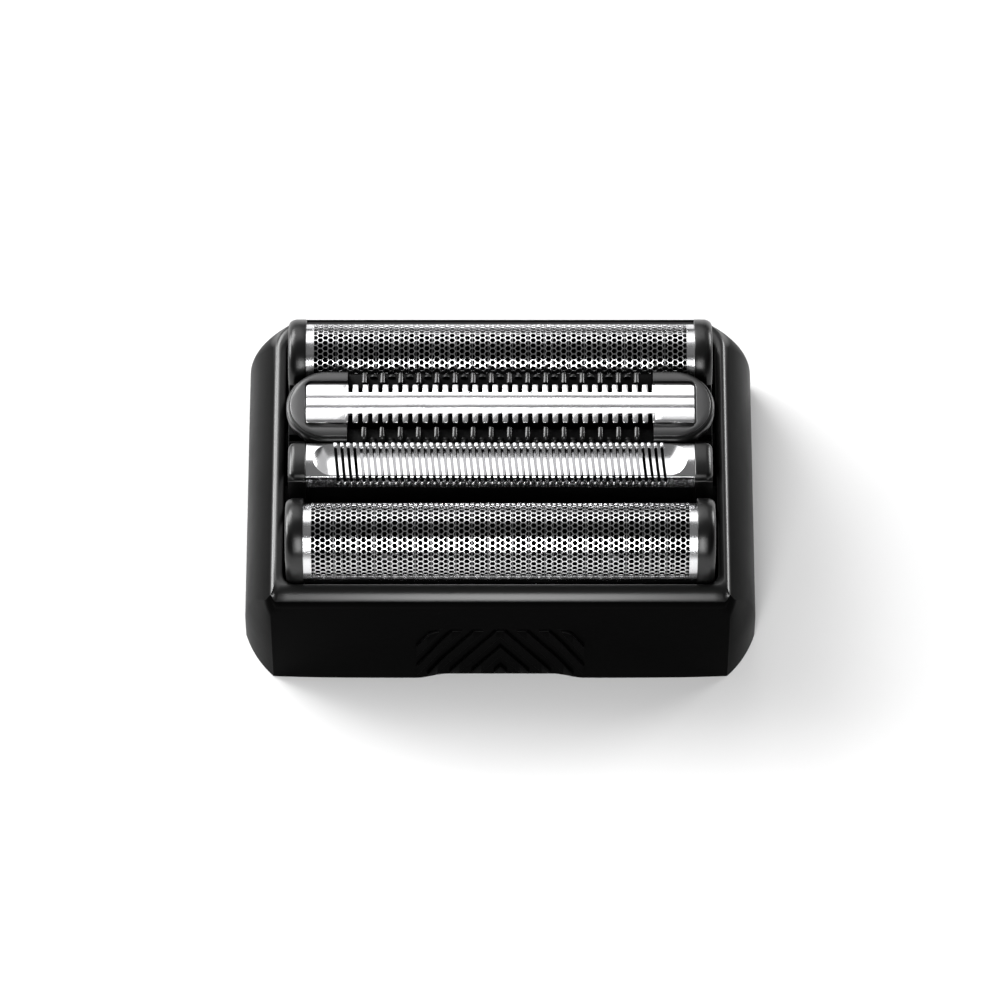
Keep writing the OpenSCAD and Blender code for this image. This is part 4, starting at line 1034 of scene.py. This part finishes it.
def build_comb_body():
    """The comb's black body: carriage, heads, the ledge beside the bar with its bumps, and the skin pins."""
    body = Shell()
    low_half = COMB_HALF - 0.25
    channel = COMB_HALF - 1.25
    foot_x = COMB_FOOT_X
    for g in (-1, 1):
        body.block(-CAP_X, CAP_X, min(g * channel, g * low_half), max(g * channel, g * low_half), UNIT_Z, COMB_RAIL_Z)
        ends = [g * foot_x, g * CAP_X]
        body.block(min(ends), max(ends), -low_half + 0.05, low_half - 0.05, UNIT_Z, COMB_RAIL_Z)
        riser = [g * foot_x, g * BAR_X]
        body.block(min(riser), max(riser), -low_half, low_half, COMB_RAIL_Z - 0.5, COMB_RAIL_Z + 0.5)
        tongue = [g * (CAP_X - 0.3), g * TONGUE_X]
        body.block(min(tongue), max(tongue), -TONGUE_W, TONGUE_W, PLATE_TOP + 1.45, RIM_UNDER - 0.1)
    carriage = mesh_object("comb_carriage", body)
    carriage.data.transform(Matrix.Translation((0, COMB_Y * MM, 0)))
    dress(settle(bevel(carriage, 0.1)), INNER_PLASTIC, "comb_unit", "cap_plastic", "comb_body")
    heads = Shell()
    low, high = COMB_RAIL_Z + 0.25, SEAT_Z
    stack = [(low, 0.2), (low + 0.06, 0.07), (low + 0.2, 0.0)]
    stack += [(high - HEAD_ROUND + out, inset) for out, inset in round_end(HEAD_ROUND, range(0, 91, 15))]
    for g in (-1, 1):
        heads.loft([[(g * x, COMB_Y + y, z) for x, y in head_outline(inset)] for z, inset in stack])
    dress(settle(mesh_object("comb_heads", heads), 40), CAP_PLASTIC, "comb_unit", "cap_plastic")
    # ledge along both sides of the bar, and a low bump on it between each two pins
    shelf = Shell()
    shelf_top = SEAT_Z - 0.65
    for g in (-1, 1):
        rows = sorted((g * channel, g * (COMB_HALF + COMB_LIP)))
        end = COMB_HEAD_X + 0.02
        shelf.block(-end, end, COMB_Y + rows[0], COMB_Y + rows[1], COMB_RAIL_Z + 0.25, shelf_top)
        rows = sorted((g * channel, g * low_half))
        low, high = COMB_RAIL_Z - 0.02, COMB_RAIL_Z + 0.3
        shelf.block(-COMB_HEAD_X, COMB_HEAD_X, COMB_Y + rows[0], COMB_Y + rows[1], low, high)
    dress(settle(bevel(mesh_object("comb_shelf", shelf), 0.08)), INNER_PLASTIC, "comb_unit", "cap_plastic")
    bump = Shell()
    rings = []
    for i in range(7):
        a = math.radians(15 * i)
        y = COMB_HALF + COMB_LIP - 0.45 * (1 - math.sin(a)) if i else COMB_HALF - 0.1
        outline = arc(0, shelf_top - 0.05, 0.4 * max(0.15, math.cos(a)) if i else 0.4, 180, 0, 10)
        rings.append([(u, y, v) for u, v in outline])
    bump.loft(rings)
    part = mesh_object("bump", bump)
    ranks = RANK.run(
        "comb_bumps", part=part, count=PIN_COUNT - 1, ranks=2, pitch=PIN_PITCH * MM,
        centre=(0, COMB_Y * MM, 0), material=CAP_PLASTIC,
    )
    dress(settle(ranks, 50), CAP_PLASTIC, "comb_unit", "cap_plastic")
    discard(part)
    # skin pins: a half-round finger that starts under the bar and ends in a dome
    pin = Shell()
    y0, y1 = BAR_HALF + 0.4, COMB_HALF + 0.2
    top = SEAT_Z + 0.15
    rings = []
    for i in range(9):
        a = math.radians(90 * i / 8)
        y = y0 if i == 0 else y1 - PIN_W * 0.55 + PIN_W * 0.55 * math.sin(a)
        k = 1.0 if i == 0 else max(0.12, math.cos(a))
        r = PIN_W / 2 * (0.4 + 0.6 * k)
        dome = arc(0, top - PIN_W / 2 - (1 - k) * 0.12, r, 0, 180, 10)
        outline = [(-r, COMB_RAIL_Z - 0.1)] + [(-u, v) for u, v in dome] + [(r, COMB_RAIL_Z - 0.1)]
        rings.append([(u, y, v) for u, v in outline])
    pin.loft(rings)
    part = mesh_object("pin", pin)
    ranks = RANK.run(
        "comb_pins", part=part, count=PIN_COUNT, ranks=2, pitch=PIN_PITCH * MM,
        centre=(0, COMB_Y * MM, 0), material=PIN_PLASTIC,
    )
    dress(settle(ranks, 50), PIN_PLASTIC, "comb_unit", "cap_plastic")
    discard(part)


# section of a ring: share of the way from its outer to its inner edge, and height
RING_SECTION = (
    (0.0, 0), (0.0, 0.12), (0.02, 0.17), (0.05, 0.2), (0.09, 0.215),
    (0.5, 0.25), (0.92, 0.28), (0.96, 0.27), (0.99, 0.23), (1.0, 0),
)


def build_comb_rings():
    """C-shaped end plates, each lofted as bands from its outer edge to the edge beside the bar."""
    inner_x, inner_y, inner_r = BAR_X + 0.14, BAR_HALF + 0.5, 0.7
    centre = COMB_END_X - COMB_LIP - COMB_HALF
    outer = [(COMB_HEAD_X, -COMB_HALF)] + arc(centre, 0, COMB_HALF, -90, 90, 40) + [(COMB_HEAD_X, COMB_HALF)]
    inner = [(COMB_HEAD_X, -inner_y)] + arc(inner_x - inner_r, inner_r - inner_y, inner_r, -90, 0, 20)
    inner += arc(inner_x - inner_r, inner_y - inner_r, inner_r, 0, 90, 20)[1:] + [(COMB_HEAD_X, inner_y)]
    n = len(outer)
    inner = [inner[round(i * (len(inner) - 1) / (n - 1))] for i in range(n)]
    for side, g in (("left", -1), ("right", 1)):
        ring = Shell()
        points = []
        for share, rise in RING_SECTION:
            for o, i in zip(outer, inner):
                x = g * (o[0] + (i[0] - o[0]) * share)
                points.append((x, COMB_Y + o[1] + (i[1] - o[1]) * share, SEAT_Z + rise))
        m = len(RING_SECTION)
        faces = []
        for j in range(m):
            here, there = j * n, (j + 1) % m * n
            faces += [[here + k, here + k + 1, there + k + 1, there + k] for k in range(n - 1)]
        faces += [[j * n for j in range(m)], [j * n + n - 1 for j in range(m)][::-1]]
        ring.add(points, faces)
        piece = settle(mesh_object(f"comb_ring_{side}_cover", ring), 45)
        dress(piece, RING_PLASTIC, "comb_unit", "ring_plastic", f"comb_ring_{side}")


def tooth_cell():
    """One tooth gap with half a tooth on each side, in the plane of the bar."""
    root, tip, gap = BAR_HALF - TOOTH_ROOT, BAR_HALF, TOOTH_GAP / 2
    inner = BAR_HALF - 1.0 + 0.05
    round_r, tip_r = 0.12, 0.1
    half = TOOTH_PITCH / 2
    edge = [(0, inner)]
    for a in (0, 30, 60, 90):
        turn = math.radians(a)
        edge.append((gap - round_r + round_r * math.sin(turn), inner + round_r - round_r * math.cos(turn)))
    edge.append((gap, tip - tip_r))
    for a in (30, 60, 90):
        turn = math.radians(a)
        edge.append((gap + tip_r - tip_r * math.cos(turn), tip - tip_r + tip_r * math.sin(turn)))
    cell = Shell()
    for g in (-1, 1):
        left = [(g * x, y, 0) for x, y in edge]
        right = [(g * half, y, 0) for x, y in edge]
        n = len(edge)
        faces = [[i, n + i, n + i + 1, i + 1][:: g] for i in range(n - 1)]
        cell.add(left + right, faces)
        cell.add([(0, root, 0), (g * half, root, 0), (g * half, inner, 0), (0, inner, 0)], [[0, 1, 2, 3][:: g]])
    return mesh_object("tooth_cell", cell, solid=False)


def build_comb_bar():
    """Toothed steel bar: two ranks of teeth, a flat field between them and plain ends, all bent at the edges."""
    cell = tooth_cell()
    teeth = RANK.run(
        "teeth", part=cell, count=TOOTH_COUNT, ranks=2, pitch=TOOTH_PITCH * MM, centre=(0, 0, 0), material=BAR_STEEL,
    )
    discard(cell)
    work = bmesh.new()
    work.from_mesh(teeth.data)
    field = TOOTH_COUNT * TOOTH_PITCH / 2
    root = BAR_HALF - TOOTH_ROOT
    inner = BAR_HALF - 1.0 + 0.05

    def patch(xs, y0, y1):
        for a, b in zip(xs, xs[1:]):
            work.faces.new([work.verts.new((x * MM, y * MM, 0)) for x, y in ((a, y0), (b, y0), (b, y1), (a, y1))])

    groove = [GROOVE_Y + k for k in (-0.055, -0.04, 0.04, 0.055)]
    lines = [-root] + [-k for k in groove[::-1]] + groove + [root]
    along = [field * (i / TOOTH_COUNT - 1) for i in range(2 * TOOTH_COUNT + 1)]
    for y0, y1 in zip(lines, lines[1:]):
        patch(along, y0, y1)
    corner = 0.3
    steps = (0.0, 0.04, 0.1, 0.2, corner)
    for g in (-1, 1):
        xs = sorted([g * field, g * (field + 0.8), g * (field + 1.8)] + [g * (BAR_X - k) for k in steps])
        edge = [BAR_HALF - k for k in steps]
        rows = sorted([-k for k in edge] + [-inner] + lines + [inner] + edge)
        for y0, y1 in zip(rows, rows[1:]):
            patch(xs, y0, y1)
    bmesh.ops.remove_doubles(work, verts=work.verts, dist=0.003 * MM)
    for v in work.verts:
        x, y = abs(v.co.x) / MM, abs(v.co.y) / MM
        past_x, past_y = x - BAR_X + corner, y - BAR_HALF + corner
        if past_x > 0 and past_y > 0 and math.hypot(past_x, past_y) > corner:
            k = corner / math.hypot(past_x, past_y)
            v.co.x *= (BAR_X - corner + past_x * k) / x
            v.co.y *= (BAR_HALF - corner + past_y * k) / y
        fall = 0.025 * (y / BAR_HALF) ** 2 + BAR_FALL * max(0.0, (y - BAR_HALF + 0.35) / 0.35) ** 2
        if abs(y - GROOVE_Y) < 0.045:
            fall += GROOVE_DEPTH
        v.co.z = -fall * MM
    bmesh.ops.recalc_face_normals(work, faces=work.faces)
    if sum(f.normal.z for f in work.faces) < 0:
        bmesh.ops.reverse_faces(work, faces=work.faces)
    work.to_mesh(teeth.data)
    work.free()
    bevel(thicken(teeth, BAR_T), 0.03, 2, 50)
    teeth.name = "comb_bar_steel"
    for v in teeth.data.vertices:
        v.co.y += COMB_Y * MM
        v.co.z += COMB_TOP * MM
    settle(teeth, 40)
    dress(teeth, BAR_STEEL, "comb_unit", "bar_steel", "comb_bar")
    # feet that stand on the heads
    feet = Shell()
    foot_top = COMB_TOP - BAR_T + 0.02
    for g in (-1, 1):
        ends = sorted((g * COMB_FOOT_X, g * (BAR_X - 0.02)))
        feet.block(ends[0], ends[1], COMB_Y - BAR_HALF + 0.05, COMB_Y + BAR_HALF - 0.05, SEAT_Z, foot_top)
    dress(settle(bevel(mesh_object("comb_bar_feet", feet), 0.03)), BAR_STEEL, "comb_unit", "bar_steel")


# ---------- guard trimmer ----------
SLOT_PITCH = 0.617
SLOT_COUNT = 52
SLOT_W = 0.3
SLOT_SLANT = -math.tan(math.radians(5))
SLOT_REAR = 1.39            # the slots end here, under their tabs
GUARD_T = 0.14
GUARD_FLANGE_FRONT = 1.55
GUARD_FLANGE_REAR = 0.65
GUARD_FOLD = 0.13
GUARD_LEAN = 0.2            # the front flange leans out by this share of its depth
CROWN_H = 0.45
TROUGH_X = FOIL_X - 0.9
TROUGH_HALF = 1.72
TROUGH_LOW = -0.2
SCOOP_X = TROUGH_X - TROUGH_HALF


def guard_crown(y):
    """The sheet swells from its front and rear edges to its middle line."""
    return CROWN_H * (1 - (y / GUARD_HALF) ** 2) - 0.05


def trough_drop(x, y):
    """How far the stamped trough and its round scoops lie below the crown."""
    past = abs(x) - SCOOP_X
    r = abs(y) if past <= 0 else math.hypot(past, y)
    if r >= TROUGH_HALF or r == 0:
        return 0.0 if r else guard_crown(0) - TROUGH_LOW
    rim = guard_crown(TROUGH_HALF * y / r)
    return guard_crown(y) - TROUGH_LOW - (rim - TROUGH_LOW) * (r / TROUGH_HALF) ** 2


def guard_section():
    """The guard's section, front flange to rear flange, with the half width of the slot at each point."""
    turn = math.degrees(math.atan(2 * CROWN_H / GUARD_HALF))
    edge = GUARD_HALF - GUARD_FOLD * (1 - math.sin(math.radians(turn)))
    low = guard_crown(edge) - GUARD_FOLD * math.cos(math.radians(turn))
    half = SLOT_W / 2
    flange = ((-GUARD_FLANGE_FRONT, 0), (-1.2, 0), (-0.9, 0), (-0.87, 0.1))
    flange += ((-0.83, half), (-0.6, half), (-0.35, half))
    line = [(-GUARD_HALF + GUARD_LEAN * (z + 0.35), z, w) for z, w in flange]
    line += [(y, z, half) for y, z in arc(GUARD_FOLD - GUARD_HALF, low, GUARD_FOLD, 180, 90 + turn, 8)]
    ys = [TROUGH_HALF * math.sin(math.radians(5 * i)) for i in range(-18, 19)]
    ys = [y for y in ys if abs(y - SLOT_REAR) > 0.08] + [SLOT_REAR - 0.05, SLOT_REAR - 0.02, SLOT_REAR + 0.01]
    for y in sorted(ys):
        w = half if y < SLOT_REAR - 0.03 else 0.1 if y < SLOT_REAR else 0
        line.append((y, guard_crown(y), w))
    line += [(y, z, 0) for y, z in arc(GUARD_HALF - GUARD_FOLD, low, GUARD_FOLD, 90 - turn, 0, 8)]
    line.append((GUARD_HALF, -GUARD_FLANGE_REAR, 0))
    return line


GUARD_SECTION = guard_section()


def guard_rows():
    """Each point of the section as its way along the sheet, its place across and the slot's half width."""
    length = line_length([p[:2] for p in GUARD_SECTION])
    s, rows = -length / 2, []
    for i, (y, z, w) in enumerate(GUARD_SECTION):
        if i:
            s += math.dist((y, z), GUARD_SECTION[i - 1][:2])
        rows.append((s, y, w))
    return rows


def slot_cell():
    cell = Shell()
    half = SLOT_PITCH / 2
    rows = guard_rows()
    n = len(rows)
    for g in (-1, 1):
        edge = [(g * w, s, 0) for s, y, w in rows] + [(g * half, s, 0) for s, y, w in rows]
        cell.add(edge, [[i, n + i, n + i + 1, i + 1][:: g] for i in range(n - 1)])
    return mesh_object("slot_cell", cell, solid=False)


def guard_border():
    """The sheet's ends; a line of its mesh follows the outline of each scoop."""
    strip = Shell()
    rows = guard_rows()
    field = SLOT_COUNT * SLOT_PITCH / 2
    inner, outer = 18, 8
    n = inner + outer
    for g in (-1, 1):
        points = []
        for s, y, _ in rows:
            start = field + g * s * SLOT_SLANT
            rim = SCOOP_X + math.sqrt(max(0.0, TROUGH_HALF**2 - y * y))
            rim = max(rim, start + 0.1)
            for i in range(n + 1):
                x = start + (rim - start) * i / inner if i <= inner else rim + (GUARD_END - rim) * (i - inner) / outer
                points.append((g * x - s * SLOT_SLANT, s, 0))
        faces = [[j * (n + 1) + i, j * (n + 1) + i + 1, (j + 1) * (n + 1) + i + 1, (j + 1) * (n + 1) + i][:: g]
                 for j in range(len(rows) - 1) for i in range(n)]
        strip.add(points, faces)
    return mesh_object("guard_border", strip, solid=False)


def build_guard_tabs():
    """Small bright lands at both ends of every slot: one over the rear fold, one low on the front flange."""
    tab = Shell()
    lean = SLOT_SLANT
    for z, inset in ((-0.3, 0.0), (0.03, 0.0), (0.05, 0.01), (0.06, 0.03)):
        y0, y1 = SLOT_REAR + inset, GUARD_HALF + 0.01 - inset
        w = SLOT_W / 2 + 0.01 - inset
        ring = [(-w + y0 * lean, y0), (w + y0 * lean, y0), (w + y1 * lean, y1), (-w + y1 * lean, y1)]
        tab.add([(x, y, z) for x, y in ring], [])
    for j in (0, 4, 8):
        tab.faces += [[j + k, j + (k + 1) % 4, j + 4 + (k + 1) % 4, j + 4 + k] for k in range(4)]
    tab.faces += [[3, 2, 1, 0], [12, 13, 14, 15]]
    bead = Shell()
    rings = []
    for i in range(7):
        a = math.radians(-90 + 180 * i / 6)
        z = -1.2 + 0.34 * math.sin(a)
        r = 0.2 * max(0.2, math.cos(a)) ** 0.5
        wall = -GUARD_HALF + GUARD_LEAN * (z + 0.35)
        rings.append([(u - GUARD_HALF * lean, wall - v, z) for u, v in arc(0, -0.13, r, 20, 160, 8)] +
                     [(-0.16 - GUARD_HALF * lean, wall + 0.1, z), (0.16 - GUARD_HALF * lean, wall + 0.1, z)])
    bead.loft(rings)
    bead.add(tab.points, tab.faces)
    part = mesh_object("slot_tab", bead)
    ranks = RANK.run(
        "guard_slot_tabs", part=part, count=SLOT_COUNT, ranks=1, pitch=SLOT_PITCH * MM,
        centre=(0, GUARD_Y * MM, GUARD_TOP * MM), material=GUARD_STEEL,
    )
    dress(settle(ranks, 50), GUARD_STEEL, "guard_unit", "guard_steel")
    discard(part)


def build_guard():
    profile = line_object("guard_profile", [p[:2] for p in GUARD_SECTION])
    cell = slot_cell()
    border = guard_border()
    sheet = PIERCED_SHEET.run(
        "guard_slotted_sheet", cell=cell, border=border, profile=profile, columns=SLOT_COUNT, rows=1,
        column_pitch=SLOT_PITCH * MM, row_pitch=0.0, stagger=0.0, slant=SLOT_SLANT, material=GUARD_STEEL,
    )
    discard(profile, cell, border)
    for v in sheet.data.vertices:
        x, y, z = (c / MM for c in v.co)
        if z > -0.12:
            z -= trough_drop(x, y)
        v.co = Vector((x, y + GUARD_Y, z + GUARD_TOP)) * MM
    settle(thicken(sheet, GUARD_T), 24)
    dress(sheet, GUARD_STEEL, "guard_unit", "guard_steel", "guard_sheet")
    build_guard_tabs()
    tongues = Shell()
    for side, g in (("left", -1), ("right", 1)):
        cap = Shell()
        shoulder, r = GUARD_TOP - 0.35, 0.7
        rear, front = GUARD_HALF + 0.1, -GUARD_HALF - 0.2

        def outline(inset):
            pts = [(front - 0.1, UNIT_Z), (rear, UNIT_Z)]
            pts += arc(rear - r, shoulder, r - inset, 0, 65, 8)
            y1, z1 = pts[-1]
            y2 = front + r + (r - inset) * math.cos(math.radians(115))
            apex = GUARD_TOP + CROWN_H + 0.05 - inset
            for i in range(1, 12):
                y = y1 + (y2 - y1) * i / 12
                u = (2 * i / 12 - 1) ** 2
                pts.append((y, z1 + (apex - z1) * (1 - u)))
            pts += arc(front + r, shoulder, r - inset, 115, 180, 8)
            pts += [(front - 0.03, shoulder - 0.02), (front - 0.08, shoulder - 0.06), (front - 0.1, shoulder - 0.14)]
            return pts

        rings = [(GUARD_END + 0.03, 0.08), (GUARD_END + 0.1, 0.0)]
        end = CAP_X - 0.05
        rings += [(end - r + out, inset) for out, inset in round_end(r, range(0, 81, 10))]
        cap.loft([[(g * x, GUARD_Y + u, v) for u, v in outline(inset)] for x, inset in rings])
        ends = sorted((g * (CAP_X - 0.3), g * TONGUE_X))
        tongues.block(ends[0], ends[1], GUARD_Y - TONGUE_W, GUARD_Y + TONGUE_W, PLATE_TOP + 1.45, RIM_UNDER - 0.1)
        piece = settle(mesh_object(f"guard_cap_{side}_shell", cap), 40)
        dress(piece, CAP_PLASTIC, "guard_unit", "cap_plastic", f"guard_cap_{side}")
    dress(settle(bevel(mesh_object("guard_cap_tongues", tongues), 0.08)), INNER_PLASTIC, "guard_unit", "cap_plastic")


# ---------- springs ----------
def build_springs():
    """Coils on the carrier's posts."""
    rows = (("front", FRONT_Y, 11.0), ("rear", REAR_Y, 11.0), ("comb", COMB_Y, 12.5), ("guard", GUARD_Y, 9.0))
    for row, y, side in rows:
        coil = COIL_PAIR.run(
            f"{row}_spring_coils", radius=1.15 * MM, wire=0.16 * MM, turns=3.5,
            height=(FLOAT_Z - CARRIER_TOP - 0.36) * MM, side=side * MM,
            foot=(0, y * MM, (CARRIER_TOP + 0.18) * MM), material=SPRING_STEEL,
        )
        dress(settle(coil, 60), SPRING_STEEL, "drive", "spring_steel", f"{row}_springs")
        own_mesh(coil)


# ---------- parts that keep their CAD shape ----------
KEPT = {
    "base_plate": INNER_PLASTIC,
    "drive_carrier": DRIVE_PLASTIC,
    "drive_bush": BUSH_BRASS,
    "front_foil_holder": INNER_PLASTIC,
    "rear_foil_holder": INNER_PLASTIC,
    "guard_holder": INNER_PLASTIC,
    "front_cutter_block": INNER_PLASTIC,
    "rear_cutter_block": INNER_PLASTIC,
    "comb_blade": BLADE_STEEL,
    "comb_slider": INNER_PLASTIC,
    "guard_blade": BLADE_STEEL,
    "guard_slider": INNER_PLASTIC,
}


def dress_kept():
    """Gives the hidden parts their finish, slot by slot."""
    for name, material in KEPT.items():
        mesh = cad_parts[name].data
        if mesh.materials:
            for i in range(len(mesh.materials)):
                mesh.materials[i] = material
        else:
            mesh.materials.append(material)


build_frame()
build_foils()
build_caps()
build_lamellae()
build_comb_body()
build_comb_rings()
build_comb_bar()
build_guard()
build_springs()
dress_kept()


# ---------- floor, world and lamps ----------
def build_floor():
    """Pale floor that takes the shadow; a little glow makes it white where it is seen or mirrored."""
    half = 1500
    plane = Shell()
    plane.add([(-half, -half, 0), (half, -half, 0), (half, half, 0), (-half, half, 0)], [[0, 1, 2, 3]])
    floor = mesh_object("studio_floor", plane, solid=False)
    material = bpy.data.materials.new("studio_floor")
    material.use_nodes = True
    s = Shader(material.node_tree)
    nodes = material.node_tree.nodes
    nodes.remove(nodes["Principled BSDF"])
    seen = seen_directly(s)
    pale = s.node("ShaderNodeBsdfDiffuse", {"Color": (0.64, 0.64, 0.64, 1)}).outputs[0]
    glow = s.node("ShaderNodeEmission", {"Color": (1, 1, 1, 1), "Strength": 0.17}).outputs[0]
    bright = s.node("ShaderNodeAddShader", {0: pale, 1: glow}).outputs[0]
    mixed = s.node("ShaderNodeMixShader", {0: seen, 1: pale, 2: bright}).outputs[0]
    material.node_tree.links.new(mixed, nodes["Material Output"].inputs["Surface"])
    floor.data.materials.append(material)


def seen_directly(s):
    """1 for rays from the camera and for what metal and glass show."""
    path = s.node("ShaderNodeLightPath").outputs
    shown = s.math("MAXIMUM", path["Is Glossy Ray"], path["Is Transmission Ray"])
    return s.math("MAXIMUM", path["Is Camera Ray"], shown)


def build_world():
    world = bpy.data.worlds.new("studio")
    bpy.context.scene.world = world
    world.use_nodes = True
    s = Shader(world.node_tree)
    nodes = world.node_tree.nodes
    path = s.node("ShaderNodeLightPath").outputs
    soft = nodes["Background"]
    soft.inputs["Color"].default_value = (1, 1, 1, 1)
    soft.inputs["Strength"].default_value = 0.05
    white = s.node("ShaderNodeBackground", {"Color": (1, 1, 1, 1), "Strength": 1.0}).outputs[0]
    mixed = s.node("ShaderNodeMixShader", {0: path["Is Camera Ray"], 1: soft.outputs[0], 2: white}).outputs[0]
    world.node_tree.links.new(mixed, nodes["World Output"].inputs["Surface"])


def panel(name, azimuth, elevation, across, up, radiance, distance=600.0):
    """A soft panel that faces the object; azimuth 0 is behind it and 90 to its right, all in degrees."""
    az, el = math.radians(azimuth), math.radians(elevation)
    place = [distance * v for v in (math.cos(el) * math.sin(az), math.cos(el) * math.cos(az), math.sin(el))]
    width, height = (2 * distance * math.tan(math.radians(v / 2)) for v in (across, up))
    data = bpy.data.lights.new(name, "AREA")
    data.shape = "RECTANGLE"
    data.size = width * MM
    data.size_y = height * MM
    data.energy = radiance * math.pi * width * height * MM * MM
    obj = link(bpy.data.objects.new(name, data))
    obj.location = Vector(place) * MM
    obj.visible_camera = False
    obj.rotation_euler = (Vector((0, 0, 10)) - Vector(place)).to_track_quat("-Z", "Y").to_euler()


def build_lamps():
    panel("rear_panel", -29, 42, 56, 54, 1.9, 650)
    panel("key", -48, 38, 36, 24, 12.5)
    panel("left_low", -74, 13, 34, 20, 19.0)
    panel("right_low", 58, 13, 22, 20, 15.0)
    panel("right_rear", 26, 42, 48, 50, 0.6, 650)
    panel("top_panel", 0, 90, 70, 44, 0.14, 650)
    panel("front_strip", 180, 37, 14, 36, 12.0, 130)


build_floor()
build_world()
build_lamps()

scene = bpy.context.scene
scene.view_settings.view_transform = "Standard"
